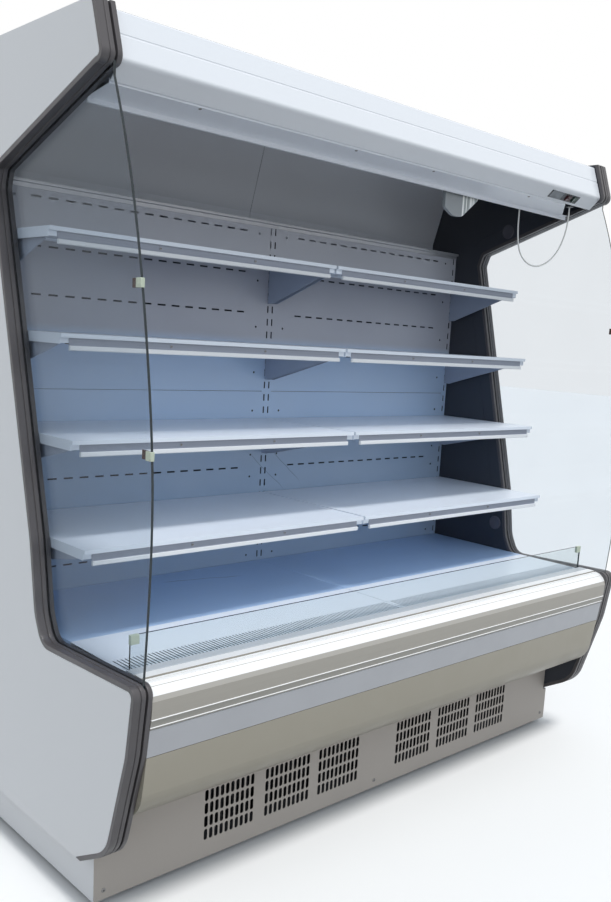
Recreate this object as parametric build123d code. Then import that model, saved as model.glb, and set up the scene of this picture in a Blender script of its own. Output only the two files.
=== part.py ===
"""Open multideck display fridge: two bays, four shelf levels, glass ends, built-in cooling unit.

Millimetres. X runs along the length, the open front faces -Y, Z is up. The origin is on the
floor under the middle of the cabinet. Section points are given as (depth, height): depth is
measured forward from the face of the slotted back wall, height from the floor.
"""
from build123d import *
from math import atan2, degrees, hypot, pi, radians, tan
import os

# ---------------------------------------------------------------- driving dimensions
bay_length = 937.5            # one shelf bay, upright to upright
bay_count = 2
overall_depth = 990.0         # nose of the end trims to the back
foot_height = 20.0            # gap from floor to base frame
cabinet_height = 2050.0
end_thickness = 46.0          # insulated end panel
back_thickness = 50.0         # insulated back
roof_thickness = 40.0
duct_depth = 129.0            # air duct behind the slotted wall
sheet = 1.2                   # folded steel sheet
heavy_sheet = 2.0
clearance = 1.0               # general gap between loose pieces

# shelves, top level first
shelf_depths = (315.0, 377.0, 435.0, 499.0)
shelf_heights = (1620.0, 1372.0, 1124.0, 872.0)
shelf_end_gap = 4.0           # each end of a tray to the end of its bay
shelf_flange = 25.0           # side flanges of a tray
shelf_back_flange = 8.0
shelf_front_flange = 13.0     # below the nose, behind the ticket rail
shelf_nose_height = 10.0
shelf_nose_depth = 8.0
rail_end_gap = 23.0           # ticket rail shorter than its tray, each end
rail_height = 29.0
rail_bead = 12.0
rail_plate = 2.0               # plain channel of the rail, in front of the tray's flange
rail_screw_spacing = 312.0
screw_head_radius = 4.0
bracket_thickness = 2.5
bracket_front_gap = 44.0
bracket_root_height = 118.0
bracket_tip_height = 36.0
bracket_inset = 9.5           # bracket and slot column from the bay's end
end_bracket_inset = 15.0

# back wall
wall_bottom = 600.0
wall_joint = 1214.0           # joint between lower and upper wall panels
wall_top = 1760.0
strip_height = 20.0
strip_depth = 12.0
strip_nose = 8.0              # height of the strip's nose over its recessed face
strip_face_depth = heavy_sheet
upright_width = 40.0
upright_fold = 20.0
upright_slot_pitch = 41.4
upright_slot_length = 22.0
upright_slot_width = 5.0
slot_row_pitch = 127.5
slots_per_row = 15
wall_slot_length = 28.0
wall_slot_height = 5.0
wall_slot_pitch = 49.5
slot_row_end = 108.0          # centre of upright to the first slot centre

# deck, return air grille, glass riser
deck_height = 632.0
deck_depth = 437.0
deck_flange = 30.0
return_plate_depth = 606.0    # plain plate ends, slots begin
grille_depth = 687.0
grille_slot_pitch = 10.4
grille_slot_width = 4.2
riser_glass_thickness = 6.0
riser_height = 105.0
riser_end_gap = 12.0

# bumper and lower panel
bumper_top_height = 639.0
groove_depth = 760.0
nose_depth = 806.0
nose_height = 598.0
insert_top = 531.0
insert_bottom = 462.0
band_top = 555.0
skin = 3.0                    # wall of the aluminium extrusions
lower_panel_bend = (766.0, 322.0)
lower_panel_end = 219.0       # height where the panel meets the plinth
lower_panel_tab = 26.0
lower_panel_return = 46.0     # depth of the return folded back at each end

# plinth and vents
plinth_depth = 597.0
plinth_half_length = 952.0
plinth_top = 262.0
vent_group_starts = (-626.0, -421.0, -220.0, 115.0, 318.0, 522.0)
vent_columns = 10
vent_rows = 5
vent_pitch_x = 17.0
vent_pitch_z = 37.0
vent_slot_length = 31.0
vent_slot_width = 11.5
vent_bottom_row = 86.0

# canopy
canopy_top = 2041.0
canopy_top_depth = 588.0
canopy_bottom = 1935.0
canopy_bottom_depth = 625.0
return_depth = 582.0          # rear edge of the canopy's return
return_height = 1895.0
cover_depth = 483.0           # rear lip of the inner cover
cover_height = 1870.0
cover_lip = 14.0
cover_lip_depth = 491.0        # front face of the cover's turned-down rear lip
cover_lip_top = 1881.0
baffle_foot_height = 1690.0
baffle_bend_height = 1802.0
baffle_top_depth = -65.0
baffle_flange_depth = 20.0
roof_front = 560.0            # front edge of the roof panel

# side glass and end trims
glass_thickness = 6.0
glass_inset = 12.5            # glass centre plane, outside the inner face of the end panel
trim_lip = 2.0                # trim stands proud of the end panel's inner face
trim_wall = 12.0
trim_top_inset = 26.0         # from the canopy's edge back to the trim's top end
tongue_width = 4.0            # tongue of the trim in the panel's front edge
tongue_depth = 14.0
tongue_gap = 0.2
tongue_place = 35.0           # tongue's middle, outside the panel's inner face
panel_bottom = 138.0
trim_groove = 2.0
trim_groove_depth = 1.5
trim_groove_place = 27.0
liner_seam = 57.0             # seam in the liner, behind the front edge
liner_seam_width = 1.5
liner_seam_depth = 1.0

# cooling unit
tub_bottom = 262.0
tub_wall = 50.0
tub_front = 700.0
tub_top = 598.0
fan_radius = 95.0
fan_hub_radius = 26.0
fan_gap = 5.0
fan_height = 440.0
condenser_fan_radius = 78.0
rail_width = 40.0
base_rail_height = 60.0

# ---------------------------------------------------------------- derived
half_inner = bay_length * bay_count / 2
half_outer = half_inner + end_thickness
y_back = overall_depth / 2
y_wall = y_back - back_thickness - duct_depth
trim_nose_depth = overall_depth - back_thickness - duct_depth
base_top = foot_height + base_rail_height
back_depth = -duct_depth - back_thickness


deck_seat = deck_height - deck_flange
end_corners = (
    (canopy_top_depth - 22, canopy_top + 118),
    (canopy_bottom_depth + 19, canopy_bottom - 12),
    (613, 1919),
    (136, 1756),
    (121, 1716),
    (330, 872),
    (357, 690),
    (390, 625),
    (trim_nose_depth + 2.2, 640),
    (789, 470),
    (712, 208),
    (430, 51),
    (-300, 51),
    (-300, canopy_top + 118),
)
end_radii = (1, 22, 15, 14, 30, 300, 120, 45, 26, 240, 110, 1, 1, 1)
pipe_radius = 6.0
suction_hole = (860.0, 200.0)     # X and depth of the pipe holes through the tub's floor
liquid_hole = (890.0, 240.0)
drain_hole = (750.0, 450.0)
drain_radius = 12.0
panel_hole_heights = (1720.0, 1572.0, 1424.0, 1276.0, 1149.0, 1001.0, 927.0, 655.0)
panel_hole_radius = 3.6
end_upright_width = 30.0
wall_flange = 14.0
wall_ledge = 20.0                 # ledge that carries the back edge of the deck pans
centre_hole_offset = 57.0
end_hole_offset = 62.5
first_slot_height = wall_bottom + 55
notch_gap = 2.5                   # each side of a bracket in the tray's back flange
bracket_columns = (
    -half_inner + end_bracket_inset, -bracket_inset, bracket_inset, half_inner - end_bracket_inset,
)
channel_ledge = 620.0
channel_lip_depth = grille_depth + 1
glass_slot_depth = channel_lip_depth + 2.5
glass_slot_width = riser_glass_thickness + 0.5
riser_bottom = 612.0
riser_top = riser_bottom + riser_height
bumper_start_depth = 731.0
side_clip_heights = (1485.0, 1135.0)
side_clip_size = 20.0
side_clip_reach = 18.0
side_pad_depths = (21.0, 44.0)    # soft pad on the glass, behind its front edge
side_pad_thickness = 3.0
side_clip_wall = 2.0
riser_clip_size = 22.0
bumper_ends = half_inner - trim_lip - 0.5
rib_radius = 1.4
front_rail_depth = 538.0
rear_rail_depth = -duct_depth + rail_width / 2
post_end = half_inner - rail_width / 2 - trim_lip - clearance
post_positions = (-post_end, 0.0, post_end)
foot_positions = (-half_inner + 60, 0.0, half_inner - 60)
plinth_screws = (-926.0, 17.0, 926.0)
plinth_screw_height = 45.0
unit_plate_top = base_top + heavy_sheet
stud_radius = 6.0
foot_radius = 22.0
cap_radius = 26.0
panel_caps = ((243.0, 1839.0), (302.0, 732.0))
canopy_screws = (-700.0, -200.0, 115.0, 587.0)
canopy_sheet = 1.5
canopy_groove_radius = 4.0        # shallow groove along the canopy's face
canopy_groove_height = 1990.0
canopy_groove_out = 3.1           # groove's centre in front of the face
canopy_face_share = (canopy_top - canopy_groove_height) / (canopy_top - canopy_bottom)
canopy_groove_depth = (
    canopy_top_depth + (canopy_bottom_depth - canopy_top_depth) * canopy_face_share + canopy_groove_out
)
canopy_ends = half_inner - trim_lip - 0.5
cover_front_depth = return_depth
control_start = 665.0
control_end = 829.0
control_width = 29.0
control_back = 34.0
slope_length = hypot(canopy_bottom_depth - return_depth, canopy_bottom - return_height)
control_middle = (603.0, 1914.0)
cover_slope = atan2(return_height - cover_lip_top, cover_front_depth - cover_lip_depth)
rocker_middles = (771.0, 808.0)
rocker_length = 28.0
rocker_width = 20.0
rocker_tilt = 8.0
rocker_pivot = 4.0                # pivot line behind the canopy's face
trunnion_radius = 1.5
pin_clearance = 0.05
cover_notch = ((775.0, 592.0), (900.0, 500.0))
honeycomb_front = 460.0
honeycomb_rear = 396.0
honeycomb_rise = 0.245
honeycomb_bottom = 1899.0
honeycomb_height = 28.0
honeycomb_columns = 60
honeycomb_rows = 3
lamp_depth = 475.0
lamp_half_length = 700.0
tube_radius = 13.0
lead_radius = 2.5
lead_end_x = 683.0
driver_corners = ((293.0, 1826.0), (335.0, 1805.0), (376.0, 1805.0), (459.0, 1872.0))
driver_radii = (10.0, 40.0, 40.0, 30.0)
driver_depths = (462.0, 474.0)
gland_block = (829.0, 849.0, 557.0, 577.0, 1896.1, 1930.0)
lead_route = (
    (839.0, 567.0, 1896.0), (839.5, 567.0, 1862.0), (838.0, 563.5, 1822.0), (833.0, 556.5, 1782.0),
    (822.0, 545.5, 1745.0), (802.0, 531.0, 1713.0), (772.0, 515.0, 1692.0), (738.0, 501.0, 1690.0),
    (709.0, 489.5, 1706.0), (691.0, 480.0, 1736.0), (683.5, 475.5, 1776.0), (681.0, 473.8, 1820.0),
    (681.5, 473.2, 1866.0), (682.5, 473.6, 1912.0), (683.2, 474.6, 1950.0), (683.4, 475.4, 1978.0),
)
fan_plate_depth = 400.0
evaporator_fans = (-400.0, 400.0)
fan_thickness = 26.0
motor_radius = 32.0
shaft_radius = 4.0
evaporator_box = (-800.0, 800.0, 100.0, 300.0, 326.0, 466.0)
evaporator_fins = 65
condenser_box = (-600.0, -100.0, 525.0, 580.0, 86.0, 254.0)
condenser_fins = 42
condenser_middle = (condenser_box[0] + condenser_box[1]) / 2
condenser_fan_height = 168.0
condenser_fan_depth = 488.0
compressor_place = (560.0, 120.0)
compressor_radius = 85.0
compressor_height = 150.0

os.makedirs("parts", exist_ok=True)


def at(depth, height):
    """Section point: depth forward of the wall face, height above the floor."""
    return (y_wall - depth, height)


def outline(points, radii=None):
    """Closed section face in the (Y, Z) plane, corners rounded where radii are given."""
    corners = [at(*p) for p in points]
    if radii:
        return make_face(FilletPolyline(*corners, radius=radii, close=True))
    return make_face(Polyline(*corners, close=True))


def along(face, x_from, x_to):
    """A section face carried along X."""
    return extrude(Plane.YZ.offset(x_from) * face, amount=x_to - x_from)


def bar(points, x_from, x_to, radii=None):
    return along(outline(points, radii), x_from, x_to)


def block(x_from, x_to, depth_from, depth_to, z_from, z_to):
    """A box between two depths and two heights."""
    size = Vector(x_to - x_from, abs(depth_to - depth_from), z_to - z_from)
    middle = Vector((x_from + x_to) / 2, y_wall - (depth_from + depth_to) / 2, (z_from + z_to) / 2)
    return Pos(*middle) * Box(*size)


def strip_sides(points, thickness):
    """The two sides of a folded sheet: the path itself, and the path moved to its left."""
    path = [Vector(*at(*p)) for p in points]
    far = []
    for i, here in enumerate(path):
        before = (here - path[i - 1]).normalized() if i else None
        after = (path[i + 1] - here).normalized() if i + 1 < len(path) else None
        first = before or after
        second = after or before
        normal_1 = Vector(-first.Y, first.X)
        normal_2 = Vector(-second.Y, second.X)
        mitre = (normal_1 + normal_2).normalized()
        far.append(here + mitre * (thickness / mitre.dot(normal_1)))
    return path, far


def strip_of(points, thickness):
    """Section of a folded sheet: a path of (depth, height) points with a wall to its left."""
    near, far = strip_sides(points, thickness)
    return make_face(Polyline(*near, *reversed(far), close=True))


def folded(points, thickness, x_from, x_to):
    return along(strip_of(points, thickness), x_from, x_to)


def bay_ends(bay):
    """X of the two ends of a bay, counted from the left."""
    start = -half_inner + bay * bay_length
    return start, start + bay_length


def group(solids):
    return Compound(children=list(solids))


def save(shape, name):
    export_step(shape, f"parts/{name}.step")


def mirrored(shape):
    return mirror(shape, about=Plane.YZ)


# ---------------------------------------------------------------- end panels, trims, side glass


def end_outline(inset):
    """Side view of an end: the C-shaped front edge moved in by inset, squared off behind."""
    whole = outline(end_corners, end_radii)
    shape = offset(whole, amount=-inset) if inset else whole
    limits = outline((
        (back_depth, panel_bottom),
        (trim_nose_depth + 20, panel_bottom),
        (trim_nose_depth + 20, cabinet_height),
        (back_depth, cabinet_height),
    ))
    return shape & limits


def end_panel():
    """Foamed end panel with a slot for the trim's tongue and a seam in its liner."""
    body = along(end_outline(trim_wall), half_inner, half_outer)
    half_slot = tongue_width / 2 + tongue_gap
    middle = half_inner + tongue_place
    slot = edge_band(trim_wall - 1, trim_wall + tongue_depth + 1)
    body -= along(slot, middle - half_slot, middle + half_slot)
    seam = edge_band(liner_seam, liner_seam + liner_seam_width)
    return body - along(seam, half_inner - 1, half_inner + liner_seam_depth)


def edge_band(outer, inner):
    """Band of the section along the C-shaped front edge only."""
    band = end_outline(outer) - end_outline(inner)
    behind = outline((
        (back_depth - 10, panel_bottom - 10),
        (566, panel_bottom - 10),
        (566, 161),
        (90, 161),
        (90, 1990),
        (canopy_top_depth - trim_top_inset - 14, 1990),
        (canopy_top_depth - trim_top_inset - 14, cabinet_height + 10),
        (back_depth - 10, cabinet_height + 10),
    ))
    return band - behind


def end_trim():
    """Extruded edge trim: caps the panel's front edge, with a tongue and a groove for the glass."""
    body = along(edge_band(0, trim_wall), half_inner - trim_lip, half_outer)
    middle = half_inner + tongue_place
    tongue = edge_band(trim_wall - 0.5, trim_wall + tongue_depth)
    body += along(tongue, middle - tongue_width / 2, middle + tongue_width / 2)
    glass_from = half_inner + glass_inset - glass_thickness / 2
    groove = half_inner + trim_groove_place
    body -= along(edge_band(-1, trim_groove_depth), groove - trim_groove / 2, groove + trim_groove / 2)
    body -= along(edge_band(-1, trim_wall - 3), glass_from, glass_from + glass_thickness)
    return body


def side_glass():
    """Curved-front end glass, seated in the trim's groove."""
    front = Spline(
        at(629, 1900), at(712, 1659), at(776, 1353), at(809, 1060), at(806, 830), at(793, 640),
    )
    hidden = ((793, 640), (793, 600), (300, 600), (60, 1720), (60, 1800), (629, 1930), (629, 1900))
    back = Polyline(*[at(*point) for point in hidden])
    pane = make_face([front, *back.edges()])
    pane -= end_outline(trim_wall - 3)
    glass_from = half_inner + glass_inset - glass_thickness / 2
    piece = along(pane, glass_from, glass_from + glass_thickness)
    return max(piece.solids(), key=lambda s: s.volume)


# ---------------------------------------------------------------- insulated body


def insulated_tub():
    """Foamed trough under the deck."""
    floor_top = tub_bottom + tub_wall
    tub = bar((
        (-duct_depth, tub_bottom),
        (600, tub_bottom),
        (tub_front, 352),
        (tub_front, tub_top),
        (tub_front - tub_wall, tub_top),
        (tub_front - tub_wall, 375),
        (580, floor_top),
        (-duct_depth, floor_top),
    ), -half_inner, half_inner)
    for (x, depth), radius in (
        (suction_hole, pipe_radius + 2), (liquid_hole, pipe_radius + 2), (drain_hole, drain_radius),
    ):
        middle = (tub_bottom + floor_top) / 2
        tub -= Pos(x, y_wall - depth, middle) * Cylinder(radius, tub_wall + 10)
    return tub


def insulated_body():
    roof_bottom = cabinet_height - roof_thickness
    back = block(-half_inner, half_inner, back_depth, -duct_depth, panel_bottom, roof_bottom)
    roof = block(-half_inner, half_inner, back_depth, roof_front, roof_bottom, cabinet_height)
    return group((insulated_tub(), back, roof))


def upper_baffles():
    """Slanted sheets over the top of the air duct, in two lengths with a seam in the middle."""
    roof_bottom = cabinet_height - roof_thickness
    path = (
        (-duct_depth, baffle_foot_height), (-duct_depth, baffle_bend_height), (baffle_top_depth, roof_bottom),
        (baffle_flange_depth, roof_bottom),
    )
    seam = 0.8
    return group((
        folded(path, sheet, -half_inner, -seam),
        folded(path, sheet, seam, half_inner),
    ))


# ---------------------------------------------------------------- slotted back wall


def wall_sheet(x_from, x_to, z_from, z_to, holes_from, holes_to):
    """One slotted wall sheet with folded-back top and bottom edges."""
    face = Pos((x_from + x_to) / 2, (z_from + z_to) / 2) * Rectangle(x_to - x_from, z_to - z_from)
    rows = [wall_joint + k * slot_row_pitch for k in range(-4, 5) if k]
    cuts = Sketch()
    for z in rows:
        if z_from + 10 < z < z_to - 10:
            for k in range(slots_per_row):
                place = Pos(holes_from + k * wall_slot_pitch, z)
                cuts += place * Rectangle(wall_slot_length, wall_slot_height)
    for z in panel_hole_heights:
        if z_from < z < z_to:
            for x in holes_to:
                cuts += Pos(x, z) * Circle(panel_hole_radius)
    plate = extrude(Plane.XZ.offset(-y_wall) * (face - cuts), amount=-sheet)
    flange_top = block(x_from, x_to, -wall_flange, 0, z_to - sheet, z_to)
    if z_from == wall_bottom:
        lower_edge = block(x_from, x_to, -sheet, wall_ledge, deck_seat - heavy_sheet, deck_seat)
    else:
        lower_edge = block(x_from, x_to, -wall_flange, 0, z_from, z_from + sheet)
    return plate + flange_top + lower_edge


def back_panels():
    sheets = []
    inner = upright_width / 2
    first = slot_row_end + wall_slot_length / 2
    row_length = (slots_per_row - 1) * wall_slot_pitch
    for side in (-1, 1):
        ends = sorted((side * inner, side * (half_inner - end_upright_width)))
        start = first if side > 0 else -first - row_length
        holes = (side * centre_hole_offset, side * (half_inner - end_hole_offset))
        for z_from, z_to in ((wall_bottom, wall_joint - 0.6), (wall_joint + 0.6, wall_top)):
            sheets.append(wall_sheet(ends[0], ends[1], z_from, z_to, start, holes))
    return group(sheets)


def upright(x_from, x_to, columns):
    """Slotted channel that carries the shelf brackets."""
    body = block(x_from, x_to, -upright_fold, 0, wall_bottom, wall_top)
    body -= block(
        x_from + heavy_sheet, x_to - heavy_sheet, -upright_fold, -heavy_sheet, wall_bottom, wall_top,
    )
    face = Sketch()
    count = int((wall_top - first_slot_height) / upright_slot_pitch) + 1
    for x in columns:
        for k in range(count):
            z = first_slot_height + k * upright_slot_pitch
            face += Pos(x, z) * Rectangle(upright_slot_width, upright_slot_length)
    cuts = extrude(Plane.XZ.offset(-y_wall + 1) * face, amount=-heavy_sheet - 2)
    return body - cuts


def uprights():
    inner = upright_width / 2
    end_column = half_inner - end_bracket_inset
    return group((
        upright(-half_inner, -half_inner + end_upright_width, (-end_column,)),
        upright(-inner, inner, (-bracket_inset, bracket_inset)),
        upright(half_inner - end_upright_width, half_inner, (end_column,)),
    ))


def wall_top_strip():
    """Aluminium cap along the top of the wall."""
    strip_top = wall_top + heavy_sheet
    nose_bottom = strip_top - strip_nose
    path = (
        (-24, wall_top - 8), (-24, strip_top), (strip_depth, strip_top), (strip_depth, nose_bottom),
        (strip_face_depth, nose_bottom), (strip_face_depth, strip_top - strip_height),
    )
    ends = half_inner - 0.5
    return folded(path, heavy_sheet, -ends, ends)


# ---------------------------------------------------------------- shelves


def tray(x_from, x_to, depth, height):
    """Folded steel tray with a hemmed nose; the ticket rail screws to its front flange."""
    nose_back = depth - shelf_nose_depth
    nose_bottom = height - shelf_nose_height
    back = clearance * 3
    path = (
        (back, height - shelf_back_flange), (back, height), (depth, height), (depth, nose_bottom),
        (nose_back, nose_bottom), (nose_back, nose_bottom - shelf_front_flange),
    )
    body = folded(path, sheet, x_from, x_to)
    side = (
        (back, height - shelf_flange), (nose_back, height - shelf_flange), (nose_back, nose_bottom),
        (depth, nose_bottom), (depth, height), (back, height),
    )
    body += bar(side, x_from, x_from + sheet)
    body += bar(side, x_to - sheet, x_to)
    for x in bracket_columns:
        half_notch = bracket_thickness / 2 + notch_gap
        body -= block(
            x - half_notch, x + half_notch, back - clearance, back + sheet + clearance,
            height - shelf_flange - clearance, height - sheet,
        )
    return body


def ticket_rail(x_from, x_to, depth, height):
    """Extruded ticket rail with a plain channel, a lower bead and two screws."""
    seat_depth = depth - shelf_nose_depth
    top = height - shelf_nose_height - 0.8
    bottom = top - rail_height
    bead_top = bottom + rail_bead
    face = seat_depth + rail_plate
    rail = bar((
        (seat_depth, top), (face, top), (face, bead_top), (depth - 1.5, bead_top),
        (depth, bead_top - 1.5), (depth, bottom + 2), (depth - 2, bottom), (seat_depth, bottom),
    ), x_from, x_to)
    pieces = [rail]
    middle = (x_from + x_to) / 2
    for side in (-1, 1):
        x = middle + side * rail_screw_spacing / 2
        z = (top + bead_top) / 2
        head = Pos(x, y_wall - face - 0.8, z) * Rot(90, 0, 0) * Cylinder(screw_head_radius, 1.6)
        pieces.append(head)
    return group(pieces)


def bracket(x_middle, depth, height):
    """Cantilever arm with two hooks in the upright's slots."""
    top = height - sheet
    front = depth - bracket_front_gap
    plate = bar((
        (0.4, top), (front, top), (front, top - 28), (front - 22, height - bracket_tip_height),
        (26, height - bracket_root_height), (0.4, height - bracket_root_height),
    ), x_middle - bracket_thickness / 2, x_middle + bracket_thickness / 2)
    slot = int((height - 30 - first_slot_height) / upright_slot_pitch)
    for k in (slot, slot - 1):
        z = first_slot_height + k * upright_slot_pitch
        hook = block(
            x_middle - bracket_thickness / 2, x_middle + bracket_thickness / 2, -9, 0.4, z - 9, z + 4,
        )
        plate += hook
    return plate


def shelf_brackets():
    arms = []
    for depth, height in zip(shelf_depths, shelf_heights):
        arms += [bracket(x, depth, height) for x in bracket_columns]
    return group(arms)


# ---------------------------------------------------------------- deck and return air
def pan(x_from, x_to):
    """Lift-out deck pan, a shallow tray turned down on all four sides."""
    shell = block(x_from, x_to, 2, deck_depth - 0.5, deck_height - deck_flange, deck_height)
    return shell - block(
        x_from + sheet, x_to - sheet, 2 + sheet, deck_depth - 0.5 - sheet, deck_height - deck_flange,
        deck_height - sheet,
    )


def return_grille(x_from, x_to):
    """Lift-out cover of the return air, plain at the back and slotted at the front."""
    path = (
        (deck_depth + 0.5, deck_height - deck_flange), (deck_depth + 0.5, deck_height),
        (grille_depth, deck_height), (grille_depth, channel_ledge),
    )
    body = folded(path, sheet, x_from, x_to)
    slots = Sketch()
    length = grille_depth - return_plate_depth - 12
    middle = y_wall - (grille_depth + return_plate_depth) / 2
    count = int((x_to - x_from - 16) / grille_slot_pitch)
    start = (x_from + x_to) / 2 - (count - 1) * grille_slot_pitch / 2
    for k in range(count):
        slots += Pos(start + k * grille_slot_pitch, middle) * Rectangle(grille_slot_width, length)
    return body - extrude(Plane.XY.offset(deck_height - 5) * slots, amount=10)


def riser_channel():
    """Extrusion on the tub's front wall: carries the grille's edge, the glass riser and the bumper."""
    slot_front = glass_slot_depth + glass_slot_width
    return bar((
        (tub_front - tub_wall + 5, tub_top), (bumper_start_depth, tub_top),
        (bumper_start_depth, bumper_top_height - 3), (bumper_start_depth - 6, bumper_top_height - 0.5),
        (slot_front, bumper_top_height - 0.5), (slot_front, riser_bottom),
        (glass_slot_depth, riser_bottom), (glass_slot_depth, 634), (channel_lip_depth, 634),
        (channel_lip_depth, channel_ledge), (tub_front - tub_wall + 5, channel_ledge),
    ), -half_inner + trim_lip + 0.5, half_inner - trim_lip - 0.5)


def riser_glass():
    ends = half_inner - riser_end_gap
    start = glass_slot_depth + 0.25
    return block(-ends, ends, start, start + riser_glass_thickness, riser_bottom, riser_top)


def glass_clips():
    """Edge clips of the side glasses and of the glass riser."""
    clips = []
    glass_x = half_inner + glass_inset
    for height in side_clip_heights:
        edge = side_glass_edge(height)
        body = block(
            glass_x - glass_thickness / 2 - side_clip_wall, glass_x + glass_thickness / 2 + side_clip_wall,
            edge - side_clip_reach, edge + side_clip_wall, height - side_clip_size / 2,
            height + side_clip_size / 2,
        )
        body -= right_glass
        clip = max(body.solids(), key=lambda s: s.volume)
        pad_face = glass_x - glass_thickness / 2
        pad = block(
            pad_face - side_pad_thickness, pad_face, edge - side_pad_depths[1], edge - side_pad_depths[0],
            height - side_clip_size / 2, height + side_clip_size / 2,
        )
        clips += [clip, mirrored(clip), pad, mirrored(pad)]
    riser = riser_glass()
    start = glass_slot_depth + 0.25
    for side in (-1, 1):
        pane_end = half_inner - riser_end_gap
        ends = sorted((side * (pane_end + 1), side * (pane_end - riser_clip_size)))
        body = block(
            ends[0], ends[1], start - side_clip_wall, start + riser_glass_thickness + side_clip_wall,
            riser_top - riser_clip_size, riser_top + 1,
        )
        clips.append(body - riser)
    return group(clips)


def side_glass_edge(height):
    """Depth of the side glass's front edge at a height."""
    probe = block(half_inner, half_outer, 600, 900, height - 1, height + 1)
    return y_wall - (right_glass & probe).bounding_box().min.Y


# ---------------------------------------------------------------- bumper and lower panel


def bumper_rail():
    """Aluminium bumper: flat top with a groove, ribbed nose, face with two fine ribs."""
    path = (
        (bumper_start_depth + 0.1, bumper_top_height), (groove_depth - 3, bumper_top_height - 1),
        (groove_depth - 2.5, bumper_top_height - 6), (groove_depth + 2, bumper_top_height - 6),
        (groove_depth + 2.5, bumper_top_height - 3), (778, 633), (794, 622), (803, 610),
        (nose_depth, nose_height), (805, 578), (803, band_top), (798, insert_top),
        (795.4, insert_top - 0.5), (785.4, insert_bottom), (770, insert_bottom - 1),
    )
    body = folded(path, skin, -bumper_ends, bumper_ends)
    for depth, height in ((768, 634.8), (777, 632.6), (786.5, 627.2), (803.2, band_top), (799.2, 536)):
        rib = Pos(0, *at(depth, height)) * Rot(0, 90, 0) * Cylinder(rib_radius, 2 * bumper_ends)
        body += rib
    return body


def bumper_insert():
    """Plastic strip snapped into the bumper's lower face."""
    path = ((798, insert_top - 1.2), (788, insert_bottom))
    return folded(path, 2.4, -bumper_ends, bumper_ends)


def lower_panel():
    """Painted panel that curves back under the bumper to the plinth."""
    path = [
        (788, insert_bottom - 1.2), lower_panel_bend, (plinth_depth, lower_panel_end),
        (plinth_depth, lower_panel_end + lower_panel_tab),
    ]
    near, far = strip_sides(path, sheet)
    corners = [*near, *reversed(far)]
    radii = (0.3, 90, 3, 0.3, 0.3, 1, 90 - sheet, 0.3)
    face = make_face(FilletPolyline(*corners, radius=radii, close=True))
    top_depth, top = path[0]
    bend_depth, bend = path[1]
    foot_depth = plinth_depth + lower_panel_return / 2
    slope = (bend - lower_panel_end) / (bend_depth - plinth_depth)
    foot = lower_panel_end + (foot_depth - plinth_depth) * slope
    side = (
        (top_depth, top), (bend_depth, bend), (foot_depth, foot),
        (bend_depth - lower_panel_return, bend + 8), (top_depth - lower_panel_return, top),
    )
    fold = make_face(FilletPolyline(*(at(*p) for p in side), radius=(0.3, 90, 0.3, 3, 0.3), close=True))
    left = along(fold, -bumper_ends, -bumper_ends + sheet)
    right = along(fold, bumper_ends - sheet, bumper_ends)
    return along(face, -bumper_ends, bumper_ends) + left + right


# ---------------------------------------------------------------- plinth and base
def plinth_front():
    """Plinth sheet with two sets of three vents."""
    upper_half = half_inner - trim_lip - 0.5
    low_height = panel_bottom - foot_height - clearance
    face = Pos(0, foot_height + 0.5 + low_height / 2) * Rectangle(2 * plinth_half_length, low_height)
    high_height = plinth_top - panel_bottom + 10
    face += Pos(0, plinth_top - high_height / 2) * Rectangle(2 * upper_half, high_height)
    cuts = Sketch()
    for start in vent_group_starts:
        for column in range(vent_columns):
            for row in range(vent_rows):
                place = Pos(start + column * vent_pitch_x, vent_bottom_row + row * vent_pitch_z)
                cuts += place * Rot(0, 0, 90) * SlotOverall(vent_slot_length, vent_slot_width)
    return extrude(Plane.XZ.offset(-y_wall + plinth_depth) * (face - cuts), amount=-sheet)


def plinth_sides():
    right = block(
        plinth_half_length - sheet, plinth_half_length, back_depth, plinth_depth - sheet,
        foot_height, panel_bottom,
    )
    return group((right, mirrored(right)))


def base_frame():
    """Welded base: rails, cross rails, posts under the tub, and the cooling unit's plate."""
    half = rail_width / 2
    frame = Part()
    for depth in (front_rail_depth, rear_rail_depth):
        frame += block(-half_inner, half_inner, depth - half, depth + half, foot_height, base_top)
        for x in post_positions:
            frame += block(x - half, x + half, depth - half, depth + half, foot_height, tub_bottom)
    for x in (-half_inner + half, -300.0, 300.0, half_inner - half):
        frame += block(x - half, x + half, rear_rail_depth, front_rail_depth, foot_height, base_top)
    plate_front = front_rail_depth + half
    frame += block(-half_inner, half_inner, rear_rail_depth, plate_front, base_top, unit_plate_top)
    for x in plinth_screws:
        frame += block(x - 10, x + 10, front_rail_depth, plinth_depth - sheet, 30, 60)
    for side in (-1, 1):
        ends = sorted((side * half_inner, side * (plinth_half_length - sheet)))
        for depth in (0.0, 400.0):
            frame += block(ends[0], ends[1], depth - 15, depth + 15, 30, 60)
    for x in foot_positions:
        for depth in (front_rail_depth, rear_rail_depth):
            frame -= Pos(x, y_wall - depth, foot_height + 16) * Cylinder(stud_radius + 0.3, 34)
    return frame


def levelling_feet():
    feet = []
    for x in foot_positions:
        for depth in (front_rail_depth, rear_rail_depth):
            foot = Pos(0, 0, 4) * Cylinder(foot_radius, 8)
            foot += Pos(0, 0, 28) * Cylinder(stud_radius, 44)
            foot += extrude(Plane.XY.offset(foot_height - 7) * RegularPolygon(11, 6), amount=7)
            feet.append(Pos(x, y_wall - depth, 0) * foot)
    return group(feet)


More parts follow.
